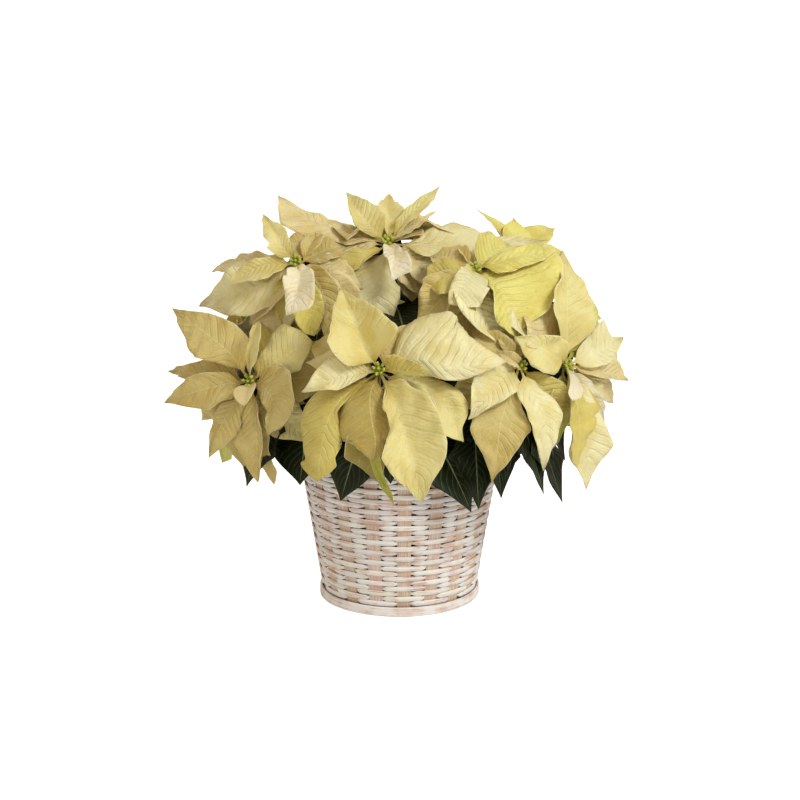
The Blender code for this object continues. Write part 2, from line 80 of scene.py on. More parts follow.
# The plant
CROWN_DEPTH = 9.0
SEAT_LOW = 7.5
SEAT_HIGH = 1.5
BLADE_START = 2.5
BLADE_THICKNESS = 0.55
LEAF_THICKNESS = 0.6
LEAF_SPREAD = 1.25
COLLAR_LEAVES = 5
COLLAR_DEPTH = 15.0
BRACT_VEINS = 12.0
LEAF_VEINS = 21.0
VEIN_SLOPE = 1 / 6
BRACT_VEIN_WAVER = 1.0
LEAF_VEIN_WAVER = 0.35
NECK_SHARE = 0.12
FINE_BLADE = (14, 54)
PLAIN_BLADE = (12, 34)
COARSE_BLADE = (8, 20)
FRONT_WHORLS = ("front", "right", "left", "far_right", "top", "upper_left", "upper_right")
CROSS_SAMPLES = 25


def linear(code):
    """An sRGB hex colour as linear red, green, blue and alpha."""
    parts = [int(code[at:at + 2], 16) / 255 for at in (1, 3, 5)]
    return [part / 12.92 if part <= 0.04045 else ((part + 0.055) / 1.055) ** 2.4 for part in parts] + [1.0]


# What each kind of bract looks like in the studio, as the colour that its own tissue has. The ochre tint is painted
# shade, a darker tan for a bract that lies in shadow; gold and tan are partly tissue tone and partly painted shade,
# darkened for the bracts in shadow.
TINTS = {
    "cream": "#EDE4B0",
    "straw": "#E3D794",
    "gold": "#D2C26C",
    "shade_ochre": "#BEAA60",
    "tan": "#D0BD7A",
    "blush": "#E6D49E",
    "yellow": "#E4DA7E",
    "lime": "#C8CE64",
    "olive": "#A09248",
    "white": "#F5EACB",
    "leaf": "#1B250C",
}

PLAIN_LOOK = {
    "belly": 0.4, "base": 0.8, "sharp": 1.35, "lean": 0.0, "arch": 0.11, "crest": 0.5, "sway": 0.0, "fold": 14,
    "cup": 6, "roll": 0, "quilt": 0.6, "ruffle": 1.4, "crumple": 1.3, "twist": 0, "tint": "straw",
    "edges": None, "rib": None, "teeth": None,
}


def bract(turn, reach, width, droop, **look):
    """A bract: turn round the face (0 to the right, 90 up), reach and width, droop, and how it differs."""
    return turn, reach, width, droop, {**PLAIN_LOOK, **look}


def ring(shape, first_turn, size, seed):
    """One ring of bracts on a whorl that no photo shows."""
    count, turn_on, reach, width, droop = shape
    dice = Random(seed)
    rows = []
    for index in range(count):
        turn = first_turn + turn_on + 360 / count * index + dice.uniform(-9, 9)
        rows.append((
            turn, reach * size * dice.uniform(0.88, 1.1), width * size * dice.uniform(0.9, 1.1),
            droop + dice.uniform(-5, 5),
        ))
    looks = Random(seed + 500)
    return [bract(*row, **chance_look(looks)) for row in rows]


def chance_look(dice):
    """How one bract of an unseen whorl differs from the next."""
    return {
        "belly": dice.uniform(0.36, 0.48), "lean": dice.uniform(-0.15, 0.15), "sway": dice.uniform(-0.06, 0.06),
        "fold": dice.uniform(4, 30), "cup": dice.uniform(-14, 12), "quilt": dice.uniform(0.2, 0.8),
        "ruffle": dice.uniform(0.4, 1.6), "twist": dice.uniform(-16, 16),
        "tint": dice.choice(("cream", "straw", "straw", "gold", "tan", "blush")),
    }


def full_whorl(seed, size=1.0):
    """Two rings of bracts, the outer one larger and hanging lower."""
    first_turn = 20 * seed
    return ring((7, 0, 98, 50, 18), first_turn, size, seed) + ring((5, 30, 66, 34, -4), first_turn, size, seed + 50)


# Each whorl: its middle, the way its face looks (degrees round from the front, degrees up), and its bracts
WHORLS = {
    "front": ((-20, -150, 278), -5, 32, [
        bract(116, 94, 62, 0, fold=36, quilt=0.4, tint="straw", rib=((0.22, 3), (0.37, 4), (0.57, 2), (0.7, 2)),
              edges=(((0.1, 19), (0.21, 28), (0.3, 32), (0.39, 33), (0.45, 27), (0.65, 18), (0.83, 9), (0.95, 4)),
                     ((0.07, 10), (0.17, 25), (0.22, 34), (0.28, 34), (0.4, 30), (0.51, 25), (0.65, 17), (0.86, 5)))),
        bract(-160, 79, 34, -5, fold=(12, 20), quilt=1.5, ruffle=0.9, tint="cream",
              edges=(((0.27, 6), (0.46, 11), (0.56, 12), (0.77, 6), (0.92, 3)),
                     ((0.21, 9), (0.33, 14), (0.45, 20), (0.55, 20), (0.64, 17), (0.75, 13), (0.84, 7), (0.94, 2)))),
        bract(172, 76, 33, 10, fold=8, cup=4, tint="blush"),
        bract(-120, 126, 50, 20, fold=-14, cup=-16, ruffle=1.8, tint="gold",
              rib=((0.2, -14), (0.43, -20), (0.55, -16), (0.68, -13), (0.79, -9), (0.89, -5)),
              edges=(((0.2, 5), (0.43, 5), (0.59, 15), (0.7, 17), (0.8, 14), (0.86, 16), (0.93, 9)),
                     ((0.2, 20), (0.39, 26), (0.51, 31), (0.71, 27), (0.8, 22), (0.86, 17), (0.92, 24), (0.97, 18)))),
        # Its ochre tint paints the shade that this bract lies in.
        bract(-92, 90, 56, 10, fold=-14, cup=-8, roll=(0, -70), quilt=0.25, tint="shade_ochre",
              rib=((0.2, -7), (0.35, -6), (0.49, -4), (0.66, 0), (0.82, 4)),
              edges=(((0.19, 13), (0.48, 15), (0.58, 17), (0.68, 13), (0.82, 7), (0.93, 6)),
                     ((0.1, 14), (0.23, 25), (0.35, 30), (0.47, 33), (0.61, 36), (0.74, 35), (0.83, 29), (0.91, 18)))),
        bract(-70, 137, 64, 8, fold=(28, 24), quilt=0.5, ruffle=1.2, tint="straw",
              rib=((0.26, 6), (0.36, 5), (0.47, 4), (0.59, 5), (0.7, 4), (0.81, 3)),
              edges=(((0.1, 12), (0.25, 20), (0.34, 32), (0.44, 36), (0.64, 36), (0.71, 32), (0.78, 26), (0.87, 13),
                      (0.94, 7)),
                     ((0.1, 3), (0.17, 5), (0.24, 11), (0.3, 14), (0.34, 11), (0.44, 12), (0.53, 20), (0.63, 29),
                      (0.75, 24), (0.83, 17), (0.89, 10), (0.95, 6)))),
        bract(-36, 109, 60, 20, fold=(6, 12), quilt=1.3, tint="straw", rib=((0.2, 2), (0.42, 11), (0.68, 13)),
              edges=(((0.13, 10), (0.3, 14), (0.46, 18), (0.63, 22), (0.75, 21), (0.82, 15), (0.88, 6)),
                     ((0.1, 8), (0.23, 14), (0.4, 22), (0.57, 26), (0.81, 20), (0.92, 8)))),
        bract(-10, 56, 18, -12, fold=(30, 20), quilt=0.6, tint="gold",
              edges=(((0.15, 8), (0.31, 13), (0.56, 10), (0.77, 7)), ((0.34, 4), (0.57, 4), (0.79, 3)))),
        bract(5, 125, 58, 0, fold=(-6, -14), cup=(-10, -14), quilt=2.0, tint="cream",
              rib=((0.16, 8), (0.32, 5), (0.47, -2), (0.63, -6), (0.79, -5)),
              edges=(((0.14, 26), (0.18, 38), (0.29, 50), (0.42, 57), (0.56, 51), (0.71, 39), (0.84, 20), (0.94, 7)),
                     ((0.12, 5), (0.25, 8), (0.41, 12), (0.54, 15), (0.65, 12), (0.78, 8)))),
        bract(-89, 116, 30, 32, fold=16, quilt=0.9, tint="olive",
              edges=(((0.3, 16), (0.5, 14), (0.76, 5), (0.9, 3)), ((0.3, 20), (0.57, 32), (0.69, 34), (0.76, 24),
                                                                   (0.88, 12)))),
        bract(-82, 136, 8, 27, fold=20, tint="lime", rib=((0.4, -14), (0.66, -14), (0.78, -11), (0.88, -6)),
              edges=(((0.3, 6), (0.66, 5), (0.88, 3)), ((0.3, 6), (0.66, 5), (0.88, 3)))),
        bract(62, 72, 40, 26, tint="tan"),
        bract(152, 96, 46, 26, tint="tan"),
        bract(22, 100, 46, 26, tint="gold"),
        bract(-136, 98, 56, 34, tint="tan"),
        bract(-56, 108, 60, 30, tint="straw"),
    ]),
    "right": ((119, -125, 277), 18, 15, [
        bract(-140, 77, 45, 0, fold=22, quilt=0.15, tint="cream", rib=((0.11, -5), (0.33, -6), (0.56, -4), (0.81, -2)),
              edges=(((0.1, 10), (0.17, 14), (0.33, 18), (0.56, 13), (0.76, 6), (0.91, 4)),
                     ((0.1, 10), (0.22, 16), (0.4, 24), (0.54, 26), (0.66, 21), (0.76, 14), (0.91, 3)))),
        bract(-105, 121, 58, 12, fold=(12, -10), quilt=0.3, tint="tan",
              rib=((0.37, -10), (0.54, -10), (0.71, -6), (0.88, -3)),
              edges=(((0.12, 8), (0.28, 12), (0.39, 26), (0.5, 30), (0.63, 22), (0.78, 13), (0.89, 4)),
                     ((0.1, 10), (0.2, 14), (0.35, 20), (0.47, 28), (0.55, 30), (0.64, 23), (0.76, 13), (0.91, 4)))),
        bract(-81, 108, 55, 3, fold=(-12, 12), quilt=0.3, ruffle=1.4, tint="cream",
              rib=((0.2, 2), (0.4, 9), (0.55, 10), (0.7, 7), (0.85, 4)),
              edges=(((0.1, 6), (0.19, 10), (0.3, 13), (0.4, 19), (0.51, 20), (0.65, 15), (0.79, 9), (0.93, 3)),
                     ((0.11, 8), (0.2, 16), (0.32, 18), (0.49, 18), (0.68, 14), (0.89, 5)))),
        bract(140, 60, 36, 12, tint="tan",
              edges=(((0.2, 7), (0.45, 9), (0.82, 8)), ((0.29, 14), (0.57, 14), (0.81, 8)))),
        bract(152, 36, 13, -20, fold=34, tint="blush"),
        bract(96, 56, 38, 20, tint="tan"),
        bract(-46, 99, 44, 24, tint="gold",
              edges=(((0.15, 8), (0.29, 14), (0.46, 20), (0.62, 17), (0.81, 9)), ((0.2, 12), (0.5, 14), (0.8, 8)))),
        bract(60, 62, 36, 24, tint="tan"),
        bract(178, 72, 40, 26, tint="gold"),
        bract(-154, 84, 48, 30, tint="tan"),
    ]),
    "left": ((-151, -85, 251), -28, 20, [
        bract(150, 132, 55, 5, fold=(8, -10), quilt=0.35, tint="tan",
              rib=((0.19, -10), (0.33, -10), (0.52, -9), (0.72, -6)),
              edges=(((0.13, 6), (0.22, 13), (0.3, 18), (0.43, 25), (0.53, 25), (0.58, 22), (0.66, 17), (0.77, 11),
                      (0.89, 4)),
                     ((0.13, 18), (0.22, 24), (0.36, 26), (0.52, 21), (0.63, 17), (0.78, 9), (0.9, 4)))),
        bract(179, 129, 42, 17, fold=(12, -6), quilt=0.3, tint="tan",
              edges=(((0.15, 8), (0.3, 10), (0.46, 10), (0.68, 6), (0.84, 3)),
                     ((0.18, 16), (0.34, 17), (0.51, 15), (0.64, 9), (0.81, 6)))),
        bract(-163, 113, 46, 8, fold=(-6, 14), quilt=0.3, tint="tan", rib=((0.17, -3), (0.37, -1), (0.6, 0)),
              edges=(((0.14, 16), (0.28, 17), (0.42, 22), (0.5, 19), (0.68, 12), (0.87, 4)),
                     ((0.12, 8), (0.26, 13), (0.46, 16), (0.64, 16), (0.76, 8), (0.89, 3)))),
        bract(-152, 108, 30, 30, fold=10, tint="tan"),
        bract(-116, 92, 42, 8, fold=-16, ruffle=1.4, tint="tan",
              edges=(((0.21, 10), (0.35, 15), (0.49, 19), (0.63, 17), (0.77, 12), (0.89, 5)),
                     ((0.1, 4), (0.23, 8), (0.37, 14), (0.57, 16), (0.72, 11), (0.87, 4)))),
        bract(-121, 113, 30, 30, fold=12, tint="lime",
              edges=(((0.2, 10), (0.4, 14), (0.6, 18), (0.64, 22), (0.75, 19), (0.88, 9)),
                     ((0.2, 8), (0.6, 8), (0.78, 5), (0.9, 3)))),
        bract(-78, 102, 32, 8, fold=(20, -12), tint="tan",
              rib=((0.19, 5), (0.33, 8), (0.53, 9), (0.7, 7), (0.88, 3)),
              edges=(((0.26, 6), (0.48, 7), (0.69, 7), (0.83, 5), (0.96, 2)),
                     ((0.2, 10), (0.31, 16), (0.46, 22), (0.59, 31), (0.7, 23), (0.85, 14), (0.96, 5)))),
        bract(-76, 109, 20, 22, fold=20, tint="tan",
              edges=(((0.3, 12), (0.51, 15), (0.61, 12), (0.85, 11), (0.95, 5)), ((0.3, 8), (0.5, 6), (0.9, 3)))),
        bract(-57, 63, 50, -5, fold=(14, 8), quilt=0.4, tint="tan", rib=((0.15, 14), (0.48, 21), (0.73, 20)),
              edges=(((0.1, 12), (0.25, 26), (0.43, 34), (0.63, 28), (0.77, 17), (0.92, 6)),
                     ((0.1, 5), (0.31, 10), (0.57, 10), (0.8, 8)))),
        bract(82, 62, 16, -15, fold=30, tint="straw",
              edges=(((0.3, 4), (0.56, 4), (0.75, 4), (0.9, 4)), ((0.27, 7), (0.45, 13), (0.63, 15), (0.81, 11),
                                                                  (0.97, 6)))),
        bract(81, 85, 32, 25, fold=14, tint="gold",
              edges=(((0.2, 8), (0.4, 14), (0.75, 21), (0.87, 20), (0.97, 11)), ((0.36, 10), (0.56, 8), (0.85, 4)))),
        bract(38, 78, 40, 5, fold=(12, -8), quilt=0.5, tint="straw",
              edges=(((0.2, 10), (0.45, 19), (0.58, 25), (0.77, 28), (0.94, 15)),
                     ((0.2, 7), (0.4, 12), (0.54, 18), (0.7, 21), (0.85, 12)))),
        bract(12, 92, 54, 22, tint="tan"),
        bract(-72, 32, 26, -30, base=0.6, sharp=0.8, fold=12, quilt=0, ruffle=0, crumple=0, tint="blush",
              teeth=((), ())),
        bract(-14, 62, 36, 24, tint="tan"),
        bract(-40, 92, 46, 30, tint="straw"),
        bract(-98, 98, 44, 24, tint="tan"),
    ]),
    "far_right": ((168, -95, 270), 36, 12, [
        bract(150, 73, 38, 0, fold=(8, 14), cup=(4, 16), quilt=0.2, tint="straw",
              edges=(((0.1, 8), (0.22, 18), (0.46, 23), (0.66, 21), (0.81, 15), (0.9, 6)),
                     ((0.1, 9), (0.19, 17), (0.4, 18), (0.65, 12), (0.86, 5)))),
        bract(78, 118, 58, 8, fold=(22, 6), quilt=0.6, tint="straw", rib=((0.23, 5), (0.44, 8), (0.66, 5)),
              edges=(((0.1, 7), (0.18, 12), (0.31, 22), (0.44, 28), (0.52, 27), (0.66, 17), (0.81, 13), (0.91, 7)),
                     ((0.08, 8), (0.15, 15), (0.26, 28), (0.4, 36), (0.53, 32), (0.64, 23), (0.75, 15), (0.88, 5)))),
        bract(12, 86, 46, 5, fold=(-10, 14), quilt=0.5, tint="cream",
              edges=(((0.13, 8), (0.26, 16), (0.47, 22), (0.69, 28), (0.76, 8), (0.86, 4)),
                     ((0.1, 6), (0.21, 10), (0.38, 14), (0.51, 14), (0.69, 10), (0.89, 4)))),
        bract(-17, 98, 26, 10, tint="blush",
              edges=(((0.2, 8), (0.39, 12), (0.57, 15), (0.75, 8)), ((0.2, 6), (0.5, 6), (0.8, 3)))),
        bract(-8, 112, 26, 22, tint="gold",
              edges=(((0.23, 8), (0.4, 8), (0.58, 5), (0.8, 2)), ((0.25, 13), (0.36, 16), (0.53, 15), (0.79, 5)))),
        bract(-30, 112, 28, 22, tint="blush"),
        bract(-49, 94, 16, 15, tint="white"),
        bract(-116, 44, 18, -30, fold=18, quilt=0, ruffle=0, crumple=0, tint="white", teeth=((), ()),
              edges=(((0.2, 3), (0.45, 6), (0.7, 10), (0.87, 8)), ((0.2, 3), (0.59, 6), (0.88, 10), (0.97, 7)))),
        bract(-88, 105, 36, 5, fold=(-10, 14), quilt=0.4, tint="gold",
              edges=(((0.1, 8), (0.22, 19), (0.32, 32), (0.43, 33), (0.56, 25), (0.71, 14), (0.85, 6)),
                     ((0.1, 6), (0.22, 10), (0.34, 12), (0.54, 14), (0.74, 14), (0.9, 10)))),
        bract(-76, 141, 44, 14, fold=(14, -8), quilt=0.3, tint="cream",
              edges=(((0.2, 12), (0.34, 19), (0.46, 21), (0.57, 23), (0.66, 28), (0.73, 22), (0.81, 14), (0.88, 5)),
                     ((0.2, 10), (0.43, 16), (0.57, 24), (0.68, 23), (0.88, 7)))),
        bract(-108, 86, 36, 22, tint="gold"),
        bract(116, 90, 62, 12, fold=(10, -14), tint="blush"),
        bract(110, 84, 40, 20, tint="gold"),
        bract(60, 118, 44, 24, tint="yellow"),
        bract(36, 108, 40, 24, tint="lime"),
        bract(-100, 118, 26, 26, tint="lime"),
        bract(-54, 100, 46, 28, tint="straw"),
    ]),
    "top": ((-12, -10, 380), 0, 55, [
        bract(149, 134, 42, 0, arch=0.01, fold=(8, -10), quilt=0.3, tint="blush",
              rib=((0.23, 9), (0.45, 16), (0.6, 17), (0.75, 15), (0.9, 6)),
              edges=(((0.27, 17), (0.46, 21), (0.61, 24), (0.72, 28), (0.8, 19), (0.9, 10)),
                     ((0.23, 8), (0.36, 13), (0.45, 15), (0.56, 15), (0.7, 13), (0.86, 6)))),
        bract(185, 88, 36, 15, fold=8, tint="blush",
              edges=(((0.21, 8), (0.43, 10), (0.62, 12), (0.84, 8)),
                     ((0.17, 13), (0.41, 19), (0.69, 24), (0.85, 20), (0.96, 13)))),
        bract(126, 75, 32, -10, fold=(18, 24), tint="straw",
              rib=((0.15, 6), (0.31, 8), (0.51, 8), (0.69, 7)),
              edges=(((0.13, 4), (0.23, 8), (0.3, 14), (0.41, 14), (0.61, 9), (0.8, 4)),
                     ((0.15, 12), (0.29, 18), (0.46, 18), (0.66, 12), (0.87, 5)))),
        bract(89, 71, 30, 0, fold=(20, 14), tint="straw", rib=((0.23, -1), (0.44, 0), (0.66, 3)),
              edges=(((0.18, 4), (0.39, 8), (0.62, 9), (0.85, 4)),
                     ((0.13, 6), (0.25, 11), (0.38, 19), (0.48, 17), (0.78, 7)))),
        bract(48, 83, 28, -15, arch=0.08, fold=(26, 20), tint="straw",
              edges=(((0.2, 4), (0.4, 6), (0.54, 6), (0.67, 4), (0.83, 2)),
                     ((0.14, 6), (0.3, 7), (0.46, 10), (0.63, 13), (0.8, 8)))),
        bract(48, 76, 34, 8, arch=0.05, tint="blush",
              edges=(((0.24, 6), (0.54, 6), (0.78, 3)), ((0.29, 9), (0.52, 8), (0.72, 6)))),
        bract(9, 170, 56, 8, arch=0.01, fold=(-10, 10), quilt=1.1, tint="cream",
              rib=((0.2, -6), (0.4, 0), (0.7, -3)),
              edges=(((0.14, 12), (0.23, 22), (0.34, 27), (0.44, 35), (0.5, 29), (0.58, 18), (0.65, 8), (0.79, 7)),
                     ((0.16, 18), (0.28, 25), (0.41, 24), (0.54, 24), (0.67, 16), (0.84, 8)))),
        bract(-87, 74, 30, -12, fold=(26, 24), quilt=0.4, tint="white", rib=((0.29, 5), (0.59, 5), (0.79, 3)),
              edges=(((0.2, 5), (0.49, 10), (0.73, 18), (0.88, 20), (0.93, 9)),
                     ((0.15, 5), (0.34, 11), (0.54, 11), (0.68, 6), (0.84, 2)))),
        bract(-140, 81, 22, 18, fold=14, tint="gold",
              edges=(((0.23, 5), (0.47, 5), (0.7, 3), (0.87, 2)),
                     ((0.19, 9), (0.38, 15), (0.55, 19), (0.7, 16), (0.83, 8)))),
        bract(-97, 97, 54, 22, fold=(-10, -14), quilt=0.4, tint="cream", rib=((0.4, -5), (0.63, -3), (0.79, -2)),
              edges=(((0.12, 6), (0.29, 12), (0.43, 17), (0.53, 23), (0.65, 23), (0.9, 16)),
                     ((0.18, 16), (0.29, 25), (0.41, 31), (0.56, 32), (0.72, 27), (0.9, 14)))),
        bract(-56, 81, 38, 38, tint="blush",
              edges=(((0.2, 8), (0.36, 12), (0.49, 15), (0.66, 15), (0.83, 9)),
                     ((0.32, 14), (0.5, 15), (0.66, 14), (0.81, 7)))),
        bract(-47, 80, 42, 33, tint="blush"),
        bract(-118, 96, 46, 46, tint="tan"),
        bract(-28, 104, 50, 30, tint="blush"),
        bract(60, 66, 44, 30, tint="tan"),
        bract(120, 66, 44, 30, tint="tan"),
    ]),
    "upper_left": ((-104, -50, 366), -22, 42, [
        bract(135, 69, 24, -8, fold=(24, 10), ruffle=1.6, tint="straw", rib=((0.2, 3), (0.45, 2)),
              edges=(((0.09, 6), (0.23, 11), (0.37, 15), (0.4, 10), (0.57, 12), (0.76, 6)),
                     ((0.12, 4), (0.28, 9), (0.47, 12), (0.66, 9), (0.84, 3)))),
        bract(176, 127, 43, 22, fold=(10, -6), quilt=0.3, tint="blush",
              edges=(((0.1, 8), (0.24, 14), (0.4, 15), (0.61, 12), (0.77, 8)),
                     ((0.13, 8), (0.26, 9), (0.39, 12), (0.47, 10), (0.63, 7), (0.8, 7), (0.92, 5)))),
        bract(-156, 74, 32, 2, fold=(20, 12), quilt=0.5, tint="straw",
              rib=((0.37, -4), (0.61, -3), (0.81, -1)),
              edges=(((0.17, 13), (0.31, 24), (0.44, 26), (0.6, 21), (0.83, 9)),
                     ((0.19, 6), (0.45, 8), (0.66, 8), (0.88, 7)))),
        bract(-165, 134, 50, 22, fold=(-8, 8), quilt=0.5, tint="cream",
              rib=((0.12, 10), (0.26, 18), (0.46, 18), (0.63, 14)),
              edges=(((0.08, 14), (0.22, 28), (0.36, 30), (0.54, 24), (0.78, 10)),
                     ((0.1, 10), (0.22, 22), (0.38, 28), (0.56, 29), (0.67, 21), (0.83, 10)))),
        bract(-78, 75, 30, -12, fold=(22, 26), quilt=0.5, tint="white",
              rib=((0.32, 10), (0.55, 11), (0.74, 9), (0.89, 5)),
              edges=(((0.1, 5), (0.25, 10), (0.46, 18), (0.7, 25), (0.86, 25), (0.93, 13)),
                     ((0.16, 9), (0.4, 14), (0.54, 14), (0.73, 10), (0.93, 3)))),
        bract(-29, 50, 38, 24, fold=(4, 10), quilt=0.3, tint="blush"),
        bract(-88, 80, 38, 30, tint="gold"),
        bract(-61, 84, 36, 36, fold=(10, 20), tint="straw",
              edges=(((0.2, 12), (0.46, 22), (0.69, 19), (0.91, 9)), ((0.2, 12), (0.51, 22), (0.71, 20), (0.83, 13)))),
        bract(96, 60, 44, 30, tint="tan"),
        bract(-130, 84, 46, 26, tint="blush"),
        bract(50, 60, 44, 30, tint="tan"),
        bract(0, 74, 36, 36, tint="blush"),
        bract(-72, 104, 42, 44, tint="blush"),
        bract(-110, 110, 54, 36, tint="blush"),
        bract(-30, 104, 50, 42, tint="blush"),
        bract(-65, 81, 34, 16, fold=(10, 14), quilt=0.3, tint="yellow",
              edges=(((0.1, 8), (0.3, 13), (0.55, 20), (0.75, 18), (0.9, 9)),
                     ((0.2, 8), (0.42, 11), (0.61, 14), (0.83, 12), (0.94, 8)))),
        bract(-57, 97, 36, 20, fold=(12, 10), tint="tan",
              rib=((0.21, 12), (0.44, 15), (0.65, 11), (0.85, 5)),
              edges=(((0.1, 8), (0.21, 13), (0.44, 17), (0.61, 17), (0.78, 11), (0.9, 6)),
                     ((0.1, 5), (0.29, 6), (0.48, 8), (0.67, 9), (0.86, 6)))),
    ]),
    "upper_right": ((75, -80, 365), 20, 45, [
        bract(3, 97, 36, -5, fold=(-12, 10), quilt=1.4, ruffle=1.4, tint="yellow",
              edges=(((0.15, 9), (0.29, 11), (0.5, 10), (0.71, 15), (0.87, 12), (0.96, 5)),
                     ((0.06, 9), (0.19, 16), (0.35, 16), (0.6, 13), (0.83, 8)))),
        bract(-72, 82, 62, 7, fold=(-6, 26), cup=(36, 10), arch=0.15, quilt=0.8, crumple=3.0, tint="yellow",
              rib=((0.4, 6), (0.61, 4), (0.81, 3)),
              edges=(((0.08, 30), (0.16, 58), (0.28, 72), (0.46, 68), (0.61, 58), (0.71, 48), (0.8, 37), (0.88, 15)),
                     ((0.1, 4), (0.3, 10), (0.52, 20), (0.68, 22), (0.83, 21), (0.94, 11)))),
        bract(-42, 110, 50, 14, fold=(10, 10), quilt=0.9, crumple=1.8, tint="cream",
              rib=((0.28, -10), (0.49, -17), (0.7, -12), (0.86, -5)),
              edges=(((0.12, 8), (0.28, 16), (0.49, 24), (0.7, 27), (0.86, 20)),
                     ((0.12, 8), (0.28, 15), (0.49, 24), (0.65, 27), (0.83, 20)))),
        bract(-70, 96, 40, 16, fold=(4, 12), tint="cream",
              rib=((0.23, -22), (0.4, -24), (0.57, -22), (0.73, -17), (0.87, -8)),
              edges=(((0.1, 10), (0.23, 18), (0.4, 18), (0.57, 14), (0.73, 10), (0.87, 7)),
                     ((0.1, 12), (0.22, 23), (0.34, 22), (0.47, 20), (0.6, 16), (0.7, 12), (0.79, 8), (0.89, 5)))),
        bract(-135, 53, 44, 4, arch=0.2, crest=0.38, fold=(10, 20), quilt=1.2, ruffle=2.4, tint="cream",
              edges=(((0.1, 14), (0.39, 26), (0.77, 27), (0.91, 16)), ((0.13, 8), (0.34, 10), (0.61, 10),
                                                                      (0.83, 6)))),
        bract(175, 50, 40, 25, tint="gold",
              edges=(((0.18, 15), (0.46, 28), (0.75, 28), (0.9, 15)), ((0.26, 12), (0.63, 16), (0.9, 12)))),
        bract(69, 60, 36, 38, tint="straw"),
        bract(-12, 96, 44, 20, fold=(18, 10), tint="yellow"),
        bract(120, 66, 38, 38, tint="tan"),
        bract(-108, 108, 46, 36, tint="tan"),
        bract(-150, 84, 48, 34, tint="tan"),
        bract(-14, 104, 48, 26, tint="gold"),
        bract(38, 78, 44, 20, tint="yellow"),
    ]),
    "side_right": ((192, 28, 294), 86, 28, full_whorl(1, 0.86)),
    "upper_back_right": ((118, 45, 352), 70, 68, [
        bract(32, 56, 34, -35, fold=20, quilt=0.5, sharp=2.0, ruffle=0.6, crumple=0.6, tint="yellow"),
        bract(54, 44, 26, -30, fold=26, sharp=2.0, ruffle=0.6, crumple=0.6, tint="yellow"),
        bract(-8, 102, 34, -15, fold=10, sharp=2.2, ruffle=0.5, crumple=0.5, tint="yellow", teeth=((), ())),
        bract(88, 64, 34, -30, fold=18, sharp=2.0, ruffle=0.6, crumple=0.6, tint="yellow"),
        bract(-45, 92, 46, 14, fold=14, tint="straw"),
        bract(-95, 92, 46, 16, fold=20, tint="gold"),
        bract(-140, 84, 42, 20, fold=12, tint="straw"),
        bract(10, 92, 46, 16, fold=10, tint="cream"),
        bract(60, 84, 42, 10, fold=18, tint="straw"),
        bract(-170, 60, 36, 26, tint="gold"),
    ]),
    "back_left": ((-162, 68, 264), -112, 24, full_whorl(3)),
    "back": ((-58, 162, 288), 196, 26, full_whorl(4)),
    "back_right": ((84, 160, 280), 150, 22, full_whorl(5)),
    "upper_back": ((-34, 84, 366), -162, 60, full_whorl(6, 1.12)),
}

# Each rooted cutting: where it stands on the soil, and the whorls that its branches carry
CUTTINGS = {
    "left": ((-30, -6), ("left", "upper_left", "back_left", "upper_back")),
    "middle": ((0, 24), ("front", "top", "back", "back_right")),
    "right": ((31, -8), ("right", "far_right", "upper_right", "side_right", "upper_back_right")),
}
FORK_HEIGHT = 178.0

# Each leaf: the branch that carries it, how far along, its tip and its width
LEAVES = (
    ("left", 0.62, (-155, -92, 143), 56),
    ("left", 0.45, (-100, -112, 150), 60),
    ("front", 0.58, (-59, -118, 135), 62),
    ("front", 0.66, (-9, -128, 156), 48),
    ("front", 0.5, (72, -116, 123), 62),
    ("right", 0.45, (80, -100, 121), 46),
    ("right", 0.6, (103, -98, 132), 44),
    ("right", 0.7, (146, -96, 136), 60),
    ("far_right", 0.55, (166, -86, 124), 40),
    ("far_right", 0.68, (160, -62, 155), 50),
    ("side_right", 0.6, (190, 40, 172), 60),
    ("side_right", 0.45, (150, 84, 158), 62),
    ("back_right", 0.6, (112, 140, 148), 62),
    ("back_right", 0.48, (52, 158, 142), 60),
    ("back", 0.6, (-12, 168, 146), 60),
    ("back", 0.5, (-72, 156, 140), 62),
    ("back_left", 0.48, (-118, 118, 148), 60),
    ("back_left", 0.62, (-172, 48, 172), 60),
    ("left", 0.78, (-176, -18, 186), 52),
    ("upper_left", 0.62, (-84, -84, 286), 54),
    ("top", 0.6, (6, -92, 292), 56),
    ("upper_right", 0.62, (96, -62, 288), 54),
    ("upper_back_right", 0.62, (96, 98, 292), 56),
    ("upper_back", 0.62, (-92, 98, 290), 56),
)

# Leaves further in, which close the gaps between the whorls
GAP_LEAVES = (
    ("front", 0.7, (72, -84, 188), 50),
    ("front", 0.75, (50, -92, 205), 46),
    ("right", 0.7, (62, -92, 214), 46),
    ("right", 0.66, (140, -70, 200), 50),
    ("far_right", 0.7, (176, -50, 200), 50),
    ("left", 0.7, (-96, -92, 196), 50),
    ("left", 0.75, (-128, -76, 190), 46),
    ("far_right", 0.6, (168, -85, 168), 40),
)


# Tools for meshes

def deselect_all():
    """Leave nothing selected or active."""
    if bpy.context.object and bpy.context.object.mode != "OBJECT":
        bpy.ops.object.mode_set(mode="OBJECT")
    bpy.ops.object.select_all(action="DESELECT")


def select_only(*items):
    """Select these objects, with the first one active."""
    deselect_all()
    for item in items:
        item.select_set(True)
    bpy.context.view_layer.objects.active = items[0]


def apply_place(item):
    """Put an object's place, turn and scale into its mesh."""
    select_only(item)
    bpy.ops.object.transform_apply(location=True, rotation=True, scale=True)


def apply_modifiers(item):
    """Apply each of an object's modifiers in order."""
    select_only(item)
    for name in [modifier.name for modifier in item.modifiers]:
        bpy.ops.object.modifier_apply(modifier=name)


def join(items, name):
    """Make several objects one."""
    select_only(*items)
    if len(items) > 1:
        bpy.ops.object.join()
    items[0].name = name
    items[0].data.name = name
    return items[0]


def copy_of(item):
    """A copy of an object with a mesh of its own."""
    twin = item.copy()
    twin.data = item.data.copy()
    bpy.context.scene.collection.objects.link(twin)
    return twin


